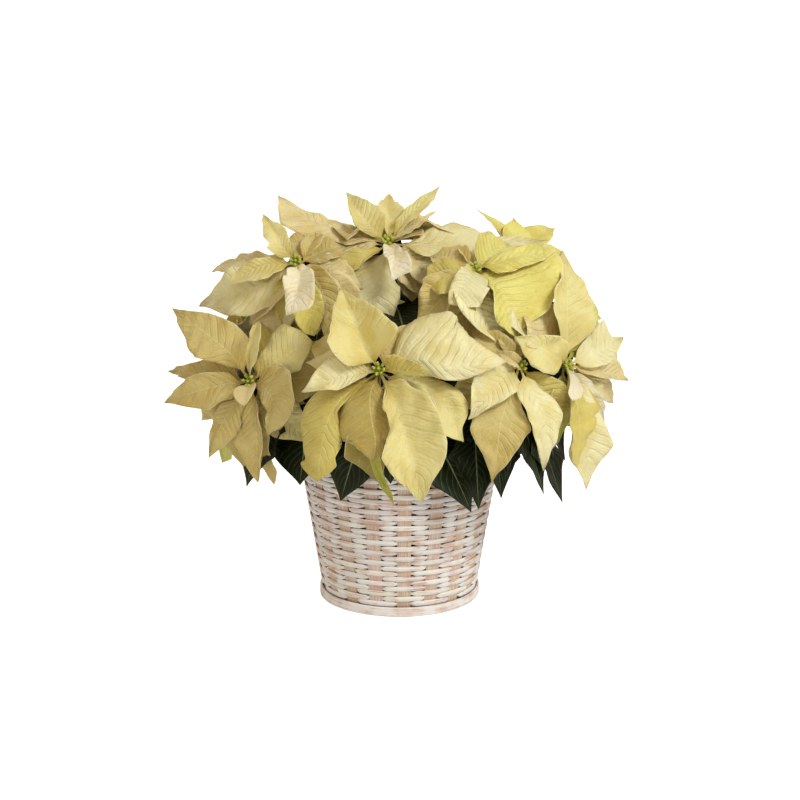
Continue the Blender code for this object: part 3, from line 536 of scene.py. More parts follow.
def coordinates(mesh):
    """The places of a mesh's vertices as an array."""
    places = np.empty(len(mesh.vertices) * 3, np.float32)
    mesh.vertices.foreach_get("co", places)
    return places.reshape(-1, 3).astype(float)


def set_coordinates(mesh, places):
    """Move a mesh's vertices."""
    mesh.vertices.foreach_set("co", places.astype(np.float32).ravel())
    mesh.update()


def paint(item, colour, name="tint"):
    """Give every vertex of an object one colour of its own."""
    layer = item.data.color_attributes.new(name, "FLOAT_COLOR", "POINT")
    layer.data.foreach_set("color", np.tile(colour, len(item.data.vertices)))


def place_piece(item, material, slot, *replaced):
    """Hand a finished piece over: its material, the body it rides on and the nodes it stands for."""
    item.data.materials.clear()
    item.data.materials.append(material)
    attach(item, "root")
    if replaced:
        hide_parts(*replaced)


# Tools for materials

def node(tree, kind, values=None, **settings):
    """Add a node, set it up and fill its sockets, each from a number, a colour or another node's output."""
    made = tree.nodes.new(kind)
    for key, value in settings.items():
        setattr(made, key, value)
    for key, value in (values or {}).items():
        socket = made.inputs[key]
        if isinstance(value, bpy.types.NodeSocket):
            tree.links.new(value, socket)
        else:
            socket.default_value = value
    return made


def new_material(name):
    """An empty node material with its output, and the shader that feeds it."""
    material = bpy.data.materials.new(name)
    material.use_nodes = True
    tree = material.node_tree
    tree.nodes.clear()
    shader = node(tree, "ShaderNodeBsdfPrincipled")
    node(tree, "ShaderNodeOutputMaterial", {"Surface": shader.outputs[0]})
    return material, tree, shader


def mixed(tree, factor, first, second, blend="MIX"):
    """Two colours mixed."""
    made = node(tree, "ShaderNodeMix", {0: factor, 6: first, 7: second}, data_type="RGBA", blend_type=blend)
    return made.outputs[2]


def reckon(tree, operation, *values, clamp=False):
    """A number worked out from others."""
    made = node(tree, "ShaderNodeMath", dict(enumerate(values)), operation=operation, use_clamp=clamp)
    return made.outputs[0]


def ramp(tree, value, low, high, to_low=0.0, to_high=1.0):
    """A number eased from one range to another."""
    made = node(
        tree, "ShaderNodeMapRange",
        {"Value": value, "From Min": low, "From Max": high, "To Min": to_low, "To Max": to_high},
        interpolation_type="SMOOTHSTEP",
    )
    return made.outputs["Result"]


def blade_marks(tree, count, waver):
    """What a blade's map tells a material: how far along, how far from the midrib, and how near a side vein.

    count is how many side veins there are on each side, and waver how far they stray from their even places.
    """
    across = node(tree, "ShaderNodeSeparateXYZ", {0: node(tree, "ShaderNodeUVMap", uv_map="UVMap").outputs[0]})
    along = across.outputs["Y"]
    side = reckon(tree, "ABSOLUTE", reckon(tree, "MULTIPLY_ADD", across.outputs["X"], 2.0, -1.0))
    place = node(tree, "ShaderNodeTexCoord").outputs["Object"]
    stray = node(tree, "ShaderNodeTexNoise", {"Vector": place, "Scale": 45.0, "Detail": 1.0}).outputs["Fac"]
    slant = reckon(tree, "MULTIPLY_ADD", side, -count * VEIN_SLOPE, reckon(tree, "MULTIPLY", stray, waver))
    order = reckon(tree, "MULTIPLY_ADD", along, count, slant)
    from_vein = reckon(tree, "PINGPONG", order, 0.5)
    return along, side, from_vein


def make_bract_skin():
    """Living bract tissue, waxy and thin: a soft satin glow, sunken side veins, pale ribs, and a painted highlight
    along the rims.
    """
    material, tree, shader = new_material("bract_tissue")
    along, side, from_vein = blade_marks(tree, BRACT_VEINS, BRACT_VEIN_WAVER)
    fine_rib = reckon(tree, "PINGPONG", reckon(tree, "MULTIPLY", from_vein, 3.0), 0.5)
    place = node(tree, "ShaderNodeTexCoord").outputs["Object"]
    blotch = node(tree, "ShaderNodeTexNoise", {"Vector": place, "Scale": 38.0, "Detail": 3.0}).outputs["Fac"]
    patch = node(tree, "ShaderNodeTexNoise", {"Vector": place, "Scale": 24.0, "Detail": 1.0}).outputs["Fac"]
    creases = node(tree, "ShaderNodeTexNoise", {"Vector": place, "Scale": 210.0, "Detail": 3.0}).outputs["Fac"]
    cells = node(tree, "ShaderNodeTexNoise", {"Vector": place, "Scale": 900.0, "Detail": 2.0}).outputs["Fac"]
    tint = node(tree, "ShaderNodeAttribute", attribute_name="tint").outputs["Color"]

    # A darker, more saturated gold. In random blotches it is the tissue's own uneven tone; towards each bract's base
    # it is painted shade and painted bounce light from deep inside the whorl.
    blotch_and_shade_gold = mixed(tree, 1.0, tint, linear("#DFCA74"), "MULTIPLY")
    colour = mixed(tree, ramp(tree, blotch, 0.35, 0.75, 0.0, 0.5), tint, blotch_and_shade_gold)
    # Painted shade: darker gold over the first third of each bract, where it lies deep in the whorl.
    colour = mixed(tree, ramp(tree, along, 0.0, 0.35, 0.6, 0.0), colour, blotch_and_shade_gold)
    vein = ramp(tree, from_vein, 0.0, 0.08, 1.0, 0.0)
    vein = reckon(tree, "MULTIPLY", vein, ramp(tree, side, 0.65, 0.95, 0.3, 0.0))
    colour = mixed(tree, vein, colour, mixed(tree, 0.5, tint, linear("#F3EBBC")))
    colour = mixed(tree, ramp(tree, side, 0.012, 0.035, 0.3, 0.0), colour, linear("#EDE7AE"))
    # Painted highlight: the outermost rim of each bract is paled towards cream, as if its edge caught the light.
    colour = mixed(tree, ramp(tree, side, 0.95, 1.0, 0.0, 0.5), colour, linear("#F6EEC8"))
    tree.links.new(colour, shader.inputs["Base Color"])

    hollow = ramp(tree, from_vein, 0.0, 0.3, 0.0, 1.0)
    ridges = reckon(tree, "MULTIPLY_ADD", fine_rib, 0.6, reckon(tree, "MULTIPLY", hollow, 0.6))
    ridges = reckon(tree, "MULTIPLY", ridges, ramp(tree, patch, 0.38, 0.62, 0.2, 1.0))
    ridges = reckon(tree, "MULTIPLY_ADD", creases, 0.9, ridges)
    height = reckon(tree, "MULTIPLY_ADD", cells, 0.5, ridges)
    bump = node(tree, "ShaderNodeBump", {"Height": height, "Strength": 0.85, "Distance": 0.0014})
    tree.links.new(bump.outputs[0], shader.inputs["Normal"])
    shader.inputs["Roughness"].default_value = 0.5
    shader.inputs["Specular IOR Level"].default_value = 0.35
    shader.inputs["Subsurface Weight"].default_value = 0.2
    shader.inputs["Subsurface Radius"].default_value = (1.0, 0.8, 0.25)
    shader.inputs["Subsurface Scale"].default_value = 0.003
    return material


def make_leaf_skin():
    """Mature leaf blade with a waxy upper skin: near-black green, pale ribs, a broken soft shine."""
    material, tree, shader = new_material("leaf_blade")
    along, side, from_vein = blade_marks(tree, LEAF_VEINS, LEAF_VEIN_WAVER)
    place = node(tree, "ShaderNodeTexCoord").outputs["Object"]
    blotch = node(tree, "ShaderNodeTexNoise", {"Vector": place, "Scale": 60.0, "Detail": 3.0}).outputs["Fac"]
    tint = node(tree, "ShaderNodeAttribute", attribute_name="tint").outputs["Color"]

    colour = mixed(tree, ramp(tree, blotch, 0.3, 0.8, 0.0, 0.5), tint, linear("#141C08"))
    vein = ramp(tree, from_vein, 0.0, 0.11, 0.5, 0.0)
    vein = reckon(tree, "MULTIPLY", vein, ramp(tree, side, 0.7, 1.0, 1.0, 0.2))
    colour = mixed(tree, vein, colour, linear("#5E6E3C"))
    colour = mixed(tree, ramp(tree, side, 0.01, 0.035, 0.8, 0.0), colour, linear("#98A474"))
    tree.links.new(colour, shader.inputs["Base Color"])

    height = ramp(tree, from_vein, 0.0, 0.3, 0.0, 1.0)
    bump = node(tree, "ShaderNodeBump", {"Height": height, "Strength": 0.5, "Distance": 0.0006})
    tree.links.new(bump.outputs[0], shader.inputs["Normal"])
    tree.links.new(ramp(tree, blotch, 0.3, 0.7, 0.4, 0.58), shader.inputs["Roughness"])
    shader.inputs["Specular IOR Level"].default_value = 0.25
    return material


def make_chipwood(name, wood, wash, grain, wash_share):
    """Split poplar chip under a thin rubbed whitewash: chalky patches with pink-brown wood showing through.

    grain is how the streaks stretch over the map, whose unit is a millimetre.
    """
    material, tree, shader = new_material(name)
    spot = node(tree, "ShaderNodeUVMap", uv_map="UVMap").outputs[0]
    shade = node(tree, "ShaderNodeAttribute", attribute_name="tint").outputs["Color"]
    stretched = node(tree, "ShaderNodeMapping", {"Vector": spot, "Scale": (*grain, 1.0)}).outputs[0]
    streak = node(tree, "ShaderNodeTexNoise", {"Vector": stretched, "Scale": 1.0, "Detail": 4.0}).outputs["Fac"]
    patch = node(tree, "ShaderNodeTexNoise", {"Vector": spot, "Scale": 0.045, "Detail": 3.0}).outputs["Fac"]
    rubbed = reckon(tree, "MULTIPLY_ADD", streak, 0.6, reckon(tree, "MULTIPLY", patch, 0.6))
    share = ramp(tree, rubbed, wash_share - 0.08, wash_share + 0.08)
    bare = mixed(tree, ramp(tree, streak, 0.3, 0.7), linear(wood[0]), linear(wood[1]))
    colour = mixed(tree, share, bare, linear(wash))
    colour = mixed(tree, 1.0, colour, shade, "MULTIPLY")
    tree.links.new(colour, shader.inputs["Base Color"])
    bump = node(tree, "ShaderNodeBump", {"Height": streak, "Strength": 0.4, "Distance": 0.0004})
    tree.links.new(bump.outputs[0], shader.inputs["Normal"])
    shader.inputs["Roughness"].default_value = 0.68
    shader.inputs["Specular IOR Level"].default_value = 0.3
    return material


def make_speckled(name, dark, light, scale, roughness, depth):
    """A rough natural or moulded surface of two tones in grains, each one raised or sunk a little."""
    material, tree, shader = new_material(name)
    place = node(tree, "ShaderNodeTexCoord").outputs["Object"]
    grains = node(tree, "ShaderNodeTexNoise", {"Vector": place, "Scale": scale, "Detail": 5.0}).outputs["Fac"]
    colour = mixed(tree, ramp(tree, grains, 0.35, 0.7), linear(dark), linear(light))
    tree.links.new(colour, shader.inputs["Base Color"])
    bump = node(tree, "ShaderNodeBump", {"Height": grains, "Strength": 0.5, "Distance": depth})
    tree.links.new(bump.outputs[0], shader.inputs["Normal"])
    shader.inputs["Roughness"].default_value = roughness
    return material


def make_flower_skin():
    """Fleshy little flower cups, smooth and moist: apple green going yellow at the lips."""
    material, tree, shader = new_material("cyathium_flesh")
    place = node(tree, "ShaderNodeTexCoord").outputs["Object"]
    grains = node(tree, "ShaderNodeTexNoise", {"Vector": place, "Scale": 700.0, "Detail": 2.0}).outputs["Fac"]
    tint = node(tree, "ShaderNodeAttribute", attribute_name="tint").outputs["Color"]
    colour = mixed(tree, ramp(tree, grains, 0.3, 0.8, 0.0, 0.4), tint, linear("#7C8A2E"))
    tree.links.new(colour, shader.inputs["Base Color"])
    shader.inputs["Roughness"].default_value = 0.35
    shader.inputs["Subsurface Weight"].default_value = 0.15
    shader.inputs["Subsurface Radius"].default_value = (0.6, 1.0, 0.2)
    shader.inputs["Subsurface Scale"].default_value = 0.0015
    return material


# The plant's shapes

def face_axes(round_front, rise):
    """Right, up and outward directions of a whorl's face."""
    around = radians(round_front)
    tilt = radians(rise)
    outward = Vector((sin(around) * cos(tilt), -cos(around) * cos(tilt), sin(tilt)))
    right = UP.cross(outward).normalized()
    return right, outward.cross(right), outward


def both(value):
    """A setting for a blade's two halves: the anticlockwise one first."""
    return value if isinstance(value, tuple) else (value, value)


def half_section(away, slope, cup, roll):
    """Across and above for each share of a half blade's width, as its slope turns towards the rim.

    The half is scaled so that its widest place is one across.
    """
    steps = np.linspace(0.0, 1.0, CROSS_SAMPLES)
    turning = cup * steps + roll * np.clip((steps - 0.62) / 0.38, 0, 1) ** 1.5
    slopes = np.radians(slope[:, None] + turning[None, :])
    width = np.cumsum((np.cos(slopes[:, 1:]) + np.cos(slopes[:, :-1])) / 2, axis=1)
    height = np.cumsum((np.sin(slopes[:, 1:]) + np.sin(slopes[:, :-1])) / 2, axis=1)
    width = np.pad(width, ((0, 0), (1, 0)))
    height = np.pad(height, ((0, 0), (1, 0)))
    place = away * (CROSS_SAMPLES - 1)
    low = np.minimum(place.astype(int), CROSS_SAMPLES - 2)
    part = place - low
    rows = np.arange(len(away))
    over = width[rows, low] * (1 - part) + width[rows, low + 1] * part
    above = height[rows, low] * (1 - part) + height[rows, low + 1] * part
    widest = width.max(axis=1)
    return over / widest, above / widest


def unit(rows):
    """Each row scaled to length one."""
    return rows / np.linalg.norm(rows, axis=1, keepdims=True)


def eased(share, points, reach):
    """A value at each share of a length, from a few known ones, with the corners between them eased."""
    stops, values = zip(*points)
    shifts = np.linspace(-reach, reach, 5)
    return sum(np.interp(share + shift, stops, values) for shift in shifts) / len(shifts)


def plain_outline(share, look, teeth):
    """Half width for each share of a blade's length: ovate, with a drawn-out tip and a few forward teeth."""
    belly = look["belly"]
    outline = np.sin(pi / 2 * np.clip(share / belly, 0, 1)) ** look["base"]
    outline = outline * np.cos(pi / 2 * np.clip((share - belly) / (1 - belly), 0, 1)) ** look["sharp"]
    for place, size in teeth:
        rise = np.clip((share - place) / 0.1 + 1, 0, 1)
        fall = np.clip(1 - (share - place) / 0.03, 0, 1)
        outline = outline + size * np.minimum(rise, fall)
    return outline


def chance_teeth(dice):
    """None, one or two teeth for one side of a blade."""
    return [(dice.uniform(0.24, 0.62), dice.uniform(0.06, 0.16)) for _ in range(dice.choice((0, 1, 1, 2)))]


def lay_blade(mesh, path, across, width, stalk, look, dice):
    """Bend a flat grid into a blade.

    path gives the midrib's places for shares of its length, and across is the way the blade spreads.
    stalk is the share of the length that is bare stalk, and how wide that is.
    """
    flat = coordinates(mesh)
    side = flat[:, 0] * 2
    along = flat[:, 1] + 0.5
    step = 0.01
    middle = path(along)
    tangent = unit(path(np.minimum(along + step, 1.0)) - path(np.maximum(along - step, 0.0)))
    spread = unit(np.array(across) - tangent * (tangent @ np.array(across))[:, None])
    lift = np.cross(tangent, spread)
    twist = np.radians(look["twist"]) * (along - 0.3)
    spread, lift = (
        spread * np.cos(twist)[:, None] + lift * np.sin(twist)[:, None],
        lift * np.cos(twist)[:, None] - spread * np.sin(twist)[:, None],
    )

    away = np.abs(side)
    is_first = side > 0
    stalk_share, stalk_width = stalk
    blade = np.clip((along - stalk_share) / (1 - stalk_share), 0.0, 1.0)
    teeth = look["teeth"] or (chance_teeth(dice), chance_teeth(dice))
    if look["edges"]:
        halves = [eased(along, ((0, 0), *points, (1, 0)), 0.012) for points in look["edges"]]
    else:
        leans = (1 + look["lean"], 1 - look["lean"])
        halves = [width / 2 * lean * plain_outline(blade, look, own) for lean, own in zip(leans, teeth)]
    neck = np.clip((along - stalk_share) / NECK_SHARE, 0, 1)
    half = np.where(is_first, *halves) * neck * neck * (3 - 2 * neck)
    half = np.maximum(half, np.where(blade < 0.9, stalk_width / 2, 0.0))
    half = half * np.clip((1 - along) / 0.015, 0, 1) * MM

    fold, cup, roll = both(look["fold"]), both(look["cup"]), both(look["roll"])
    easing = 1.25 - 0.5 * blade
    first = half_section(away, fold[0] * easing, cup[0], roll[0])
    second = half_section(away, fold[1] * easing, cup[1], roll[1])
    over = np.where(is_first, first[0], -second[0])
    above = np.where(is_first, first[1], second[1])

    order = (blade - away * VEIN_SLOPE) * BRACT_VEINS
    room = np.clip(blade * 8, 0, 1) * np.clip((1 - blade) * 4, 0, 1)
    puff = np.abs(np.sin(pi * order)) * (1 - np.exp(-(away / 0.16) ** 2)) * (1 - away ** 3) * room
    rise = look["quilt"] * puff
    for sign in (1, -1):
        wave = np.sin(2 * pi * (2.3 * along + dice.random())) + 0.6 * np.sin(2 * pi * (5.2 * along + dice.random()))
        rise = rise + np.where(side * sign > 0, look["ruffle"] * wave * away ** 2.5 * room, 0.0)
    length = np.linalg.norm(path(np.array([1.0])) - path(np.array([0.0]))) / MM
    for _ in range(4):
        around = dice.uniform(0, 2 * pi)
        pitch = dice.uniform(16, 42)
        spot = (side * width / 2 * cos(around) + along * length * sin(around)) / pitch
        rise = rise + look["crumple"] * 0.6 * np.sin(2 * pi * (spot + dice.random())) * away ** 0.5 * room

    places = middle + spread * (half * over)[:, None] + lift * (half * above + rise * MM)[:, None]
    set_coordinates(mesh, places)


def finish_blade(item, thickness, tint, dice, play=0.04):
    """Close a laid blade's point, give it its thickness and its own shade."""
    select_only(item)
    bpy.ops.object.mode_set(mode="EDIT")
    bpy.ops.mesh.select_all(action="SELECT")
    bpy.ops.mesh.remove_doubles(threshold=0.02 * MM)
    bpy.ops.object.mode_set(mode="OBJECT")
    solidify = item.modifiers.new("thickness", "SOLIDIFY")
    solidify.thickness = thickness * MM
    solidify.offset = 0.0
    bpy.ops.object.modifier_apply(modifier=solidify.name)
    bpy.ops.object.shade_smooth()
    shade = dice.uniform(1 - play, 1 + play)
    colour = [min(1.0, part * shade) for part in linear(TINTS[tint])[:3]] + [1.0]
    paint(item, colour)


def make_blade_master(cells):
    """The flat grid that a bract or leaf starts from: x across, y along, with its own map."""
    deselect_all()
    bpy.ops.mesh.primitive_grid_add(x_subdivisions=cells[0], y_subdivisions=cells[1], size=1.0)
    return bpy.context.object


def bract_seats(bracts):
    """How far below the crown's top each bract grows: those that hang most grow lowest."""
    by_droop = sorted(range(len(bracts)), key=lambda index: bracts[index][3])
    step = (SEAT_LOW - SEAT_HIGH) / (len(bracts) - 1)
    seats = {index: SEAT_HIGH + step * rank for rank, index in enumerate(by_droop)}
    return [seats[index] for index in range(len(bracts))]


def bract_path(start, tip, lift, across, look):
    """A bract's midrib: up from the crown, over and down to its tip, swaying to one side if it does."""
    chord = np.array(tip - start)
    length = np.linalg.norm(chord)
    start = np.array(start)
    lift = np.array(lift)
    across = np.array(across)

    early = np.log(0.5) / np.log(look["crest"])

    def path(share):
        hump = np.sin(pi * np.clip(share, 0, 1) ** early)
        if look["rib"]:
            aside = eased(share, ((0, 0), *look["rib"], (1, 0)), 0.1) * np.sin(pi * share) ** 0.15 * MM
        else:
            aside = 4 * share * (1 - share) * look["sway"] * length
        return (
            start + np.outer(share, chord) + np.outer(hump * look["arch"] * length, lift)
            + np.outer(aside, across)
        )
    return path


def make_whorl(name, master, skin):
    """All the bracts of one whorl with the crown that they grow from."""
    middle, round_front, rise, bracts = WHORLS[name]
    right, up, outward = face_axes(round_front, rise)
    centre = Vector(middle) * MM
    dice = Random(name)
    blades = []
    for row, seat in zip(bracts, bract_seats(bracts)):
        turn, reach, width, droop, look = row
        sideways = right * cos(radians(turn)) + up * sin(radians(turn))
        start = centre + sideways * (BLADE_START * MM) - outward * (seat * MM)
        fall = radians(droop)
        tip = centre + (sideways * cos(fall) - outward * sin(fall)) * (reach * MM)
        chord = tip - start
        across = outward.cross(chord).normalized()
        lift = chord.cross(across).normalized()
        blade = copy_of(master)
        lay_blade(
            blade.data, bract_path(start, tip, lift, across, look), across, width, (0.05, 2.2), look, dice
        )
        finish_blade(blade, BLADE_THICKNESS, look["tint"], dice)
        blades.append(blade)
    deselect_all()
    turn_face = UP.rotation_difference(outward).to_matrix().to_4x4()
    bpy.ops.mesh.primitive_cone_add(
        vertices=20, radius1=3.0 * MM, radius2=4.6 * MM, depth=CROWN_DEPTH * MM, end_fill_type="TRIFAN"
    )
    crown = bpy.context.object
    crown.matrix_world = Matrix.Translation(centre - outward * (CROWN_DEPTH / 2 * MM)) @ turn_face
    apply_place(crown)
    bpy.ops.object.shade_smooth_by_angle(angle=radians(40))
    paint(crown, linear("#A9B04A"))
    whorl = join([crown] + blades, f"whorl_{name}")
    place_piece(whorl, skin, "cream_bract", f"bracts_{name}")
    return whorl


def branch_path(stand, whorl):
    """The points of one branch, as the frame's stems have it."""
    middle, round_front, rise = whorl[:3]
    outward = face_axes(round_front, rise)[2]
    end = (Vector(middle) - outward * (CROWN_DEPTH + 0.3)) * MM
    start = Vector((stand[0], stand[1], FORK_HEIGHT)) * MM
    span = (end - start).length
    climb = Vector((end.x - start.x, end.y - start.y, span * 0.9)).normalized()
    leave = start + climb * span * 0.35
    arrive = end - outward * span * 0.3
    points = []
    for index in range(7):
        share = index / 6
        rest = 1 - share
        points.append(
            start * rest ** 3 + leave * 3 * rest * rest * share
            + arrive * 3 * rest * share * share + end * share ** 3
        )
    return points


def along_branch(points, share):
    """A place on a path of points."""
    place = share * (len(points) - 1)
    index = min(int(place), len(points) - 2)
    return points[index].lerp(points[index + 1], place - index)


def make_leaf(name, master, start, end, width, tint, dice):
    """One leaf: its stalk from the branch, then its toothed blade."""
    span = end - start
    outward = Vector((end.x, end.y, 0.0)).normalized()
    bend = start + span * 0.45 + UP * (span.length * 0.3)
    facing = outward * 1.2 + UP
    across = facing.cross(span).normalized()
    first, second, last = np.array(start), np.array(bend), np.array(end)

    def path(share):
        rest = 1 - share
        return np.outer(rest * rest, first) + np.outer(2 * rest * share, second) + np.outer(share * share, last)

    look = {
        **PLAIN_LOOK, "belly": dice.uniform(0.48, 0.6), "base": 0.6, "sharp": 1.15, "fold": dice.uniform(4, 14),
        "cup": dice.uniform(-14, 4), "quilt": dice.uniform(0.4, 0.8), "ruffle": dice.uniform(0.8, 1.8),
        "twist": dice.uniform(-20, 20), "teeth": (((0.42, 0.3), (0.7, 0.26)), ((0.3, 0.2), (0.58, 0.36))),
    }
    width = width * LEAF_SPREAD
    leaf = copy_of(master)
    lay_blade(leaf.data, path, across, width, (0.3, 2.6), look, dice)
    finish_blade(leaf, LEAF_THICKNESS, tint, dice, play=0.15)
    leaf.name = name
    leaf.data.name = name
    return leaf


def make_collar_leaf(master, start, end, outward, dice):
    """One of the small dark leaves that sit close behind a whorl."""
    chord = end - start
    across = outward.cross(chord).normalized()
    lift = chord.cross(across).normalized()
    look = {**PLAIN_LOOK, "base": 0.5, "belly": 0.5, "arch": 0.04, "fold": dice.uniform(0, 10)}
    leaf = copy_of(master)
    lay_blade(leaf.data, bract_path(start, end, lift, across, look), across, dice.uniform(34, 42), (0.04, 2.2),
              look, dice)
    finish_blade(leaf, LEAF_THICKNESS, "leaf", dice, play=0.15)
    return leaf


def make_leaves(master, small_master, skin):
    """The leaves that the frame has, and the smaller ones that fill the plant's inside."""
    branches = {
        whorl: branch_path(stand, WHORLS[whorl]) for stand, carried in CUTTINGS.values() for whorl in carried
    }
    dice = Random(24)
    for number, (branch, share, tip, width) in enumerate(LEAVES, start=1):
        start = along_branch(branches[branch], share)
        leaf = make_leaf(f"green_leaf_{number:02d}", master, start, Vector(tip) * MM, width, "leaf", dice)
        place_piece(leaf, skin, "leaf_green", f"leaf_{number:02d}")
    inner = []
    for branch, points in branches.items():
        for share in (0.3, 0.42, 0.6, 0.7):
            start = along_branch(points, share)
            heading = Vector((points[-1].x - points[0].x, points[-1].y - points[0].y, 0.0)).normalized()
            heading.rotate(Matrix.Rotation(radians(dice.uniform(-75, 75)), 3, "Z"))
            reach = dice.uniform(58, 82) * (1.25 - 0.75 * share)
            end = start + (heading + UP * dice.uniform(-0.5, 0.1)).normalized() * reach * MM
            inner.append(make_leaf("inner_leaf", small_master, start, end, dice.uniform(34, 46), "leaf", dice))
        right, up, outward = face_axes(*WHORLS[branch][1:3])
        start = Vector(WHORLS[branch][0]) * MM - outward * (COLLAR_DEPTH * MM)
        for index in range(COLLAR_LEAVES):
            around = 2 * pi * (index + dice.uniform(-0.2, 0.2)) / COLLAR_LEAVES
            sideways = right * cos(around) + up * sin(around)
            end = start + (sideways - outward * dice.uniform(0.5, 0.8)).normalized() * dice.uniform(40, 50) * MM
            inner.append(make_collar_leaf(small_master, start, end, outward, dice))
    for branch, share, tip, width in GAP_LEAVES:
        start = along_branch(branches[branch], share)
        inner.append(make_leaf("gap_leaf", small_master, start, Vector(tip) * MM, width, "leaf", dice))
    filling = join(inner, "inner_leaves")
    place_piece(filling, skin, "leaf_green")


def make_cyathium_master():
    """One little flower cup: an ovoid with a lip of nectar at one side and a few stamens."""
    deselect_all()
    bpy.ops.mesh.primitive_uv_sphere_add(segments=14, ring_count=9, radius=1.0)
    cup = bpy.context.object
    cup.scale = (1.75 * MM, 1.75 * MM, 2.9 * MM)
    cup.location = (0.0, 0.0, 2.9 * MM)
    apply_place(cup)
    paint(cup, linear("#A8B84A"))
    bpy.ops.mesh.primitive_torus_add(
        major_segments=12, minor_segments=6, major_radius=0.75 * MM, minor_radius=0.42 * MM,
        location=(1.3 * MM, 0.0, 4.6 * MM), rotation=(0.0, radians(55), 0.0),
    )
    lip = bpy.context.object
    apply_place(lip)
    paint(lip, linear("#E8D64A"))
    stamens = []
    for index in range(4):
        around = 2 * pi * index / 4
        bpy.ops.mesh.primitive_ico_sphere_add(
            subdivisions=1, radius=0.45 * MM,
            location=(0.6 * MM * cos(around) - 0.3 * MM, 0.6 * MM * sin(around), 6.0 * MM),
        )
        stamens.append(bpy.context.object)
        paint(stamens[-1], linear("#D9DE62"))
    cup = join([cup, lip] + stamens, "cyathium")
    select_only(cup)
    bpy.ops.object.shade_smooth()
    return cup


def make_flowers(skin):
    """A cluster of cups in the middle of each whorl."""
    master = make_cyathium_master()
    for name, (middle, round_front, rise, _) in WHORLS.items():
        dice = Random(f"flowers {name}")
        right, up, outward = face_axes(round_front, rise)
        centre = Vector(middle) * MM
        cups = []
        for index in range(7):
            around = 2 * pi * index / 6 + dice.uniform(-0.3, 0.3)
            spread = (3.9 if index < 6 else 0.0) * MM
            sideways = right * cos(around) + up * sin(around)
            axis = (outward + sideways * (0.35 if index < 6 else 0.0)).normalized()
            place = centre + sideways * spread - outward * (0.6 * MM)
            cup = copy_of(master)
            turn = Matrix.Rotation(dice.uniform(0, 2 * pi), 4, axis)
            size = Matrix.Scale(dice.uniform(0.8, 1.1), 4)
            cup.matrix_world = (
                Matrix.Translation(place) @ turn @ UP.rotation_difference(axis).to_matrix().to_4x4() @ size
            )
            apply_place(cup)
            cups.append(cup)
        cluster = join(cups, f"flower_cups_{name}")
        place_piece(cluster, skin, "cyathium_green", f"cyathia_{name}")
    bpy.data.objects.remove(master, do_unlink=True)


# The basket

def wall_middle(height):
    """The radius at which the weave's middle lies, at a height."""
    return WALL_MIDDLE + WALL_FLARE * (height - HOOP_HEIGHT)


def wrap_map(item):
    """Give a round piece a map in millimetres: round the basket, then up."""
    mesh = item.data
    for layer in list(mesh.uv_layers):
        mesh.uv_layers.remove(layer)
    layer = mesh.uv_layers.new(name="UVMap")
    places = coordinates(mesh)
    corners = np.empty(len(mesh.loops), np.int32)
    mesh.loops.foreach_get("vertex_index", corners)
    turn = np.arctan2(places[corners, 0], -places[corners, 1])
    starts = np.array([face.loop_start for face in mesh.polygons])
    totals = np.array([face.loop_total for face in mesh.polygons])
    first = np.repeat(turn[starts], totals)
    turn = np.where(turn - first > pi, turn - 2 * pi, np.where(turn - first < -pi, turn + 2 * pi, turn))
    mapped = np.stack((turn * wall_middle(80.0), places[corners, 2] / MM), axis=1)
    layer.data.foreach_set("uv", mapped.astype(np.float32).ravel())


def make_weaver_master():
    """One round of weaver: a flat chip that dips in behind every second stake and lies outside the others."""
    deselect_all()
    radius = wall_middle(WEAVER_LOW)
    bpy.ops.mesh.primitive_circle_add(vertices=STAKE_COUNT * WEAVER_CORNERS, radius=radius * MM)
    weaver = bpy.context.object
    for rise, grow in ((WEAVER_HEIGHT / 2, 1.0045), (WEAVER_HEIGHT / 2, 1.0045)):
        bpy.ops.object.mode_set(mode="EDIT")
        bpy.ops.mesh.extrude_region_move(TRANSFORM_OT_translate={"value": (0.0, 0.0, rise * MM)})
        bpy.ops.transform.resize(value=(grow, grow, 1.0), center_override=(0.0, 0.0, 0.0))
        bpy.ops.object.mode_set(mode="OBJECT")
    places = coordinates(weaver.data)
    period = 2 * 360 / STAKE_COUNT
    turn = np.degrees(np.arctan2(places[:, 0], -places[:, 1])) - FIRST_STAKE
    from_dip = np.abs((turn + period / 2) % period - period / 2)
    share = np.clip((from_dip - DIP_INNER) / (DIP_OUTER - DIP_INNER), 0, 1)
    swing = (share * share * (3 - 2 * share) * 2 - 1) * WEAVER_REACH
    crown = np.where(np.abs(places[:, 2] - WEAVER_HEIGHT / 2 * MM) < 0.5 * MM, WEAVER_CROWN, 0.0)
    pinch = 1 - WEAVER_PINCH * np.exp(-((from_dip - DIP_OUTER + 1) / PINCH_SPREAD) ** 2)
    places[:, 2] = WEAVER_HEIGHT / 2 * MM + (places[:, 2] - WEAVER_HEIGHT / 2 * MM) * pinch
    reach = np.hypot(places[:, 0], places[:, 1])
    places[:, :2] *= ((reach + (swing + crown) * MM) / reach)[:, None]
    set_coordinates(weaver.data, places)
    solidify = weaver.modifiers.new("thickness", "SOLIDIFY")
    solidify.thickness = WEAVER_THICKNESS * MM
    solidify.offset = 0.0
    bevel = weaver.modifiers.new("edges", "BEVEL")
    bevel.width = 0.25 * MM
    bevel.segments = 1
    bevel.limit_method = "ANGLE"
    apply_modifiers(weaver)
    bpy.ops.object.shade_smooth_by_angle(angle=radians(50))
    return weaver


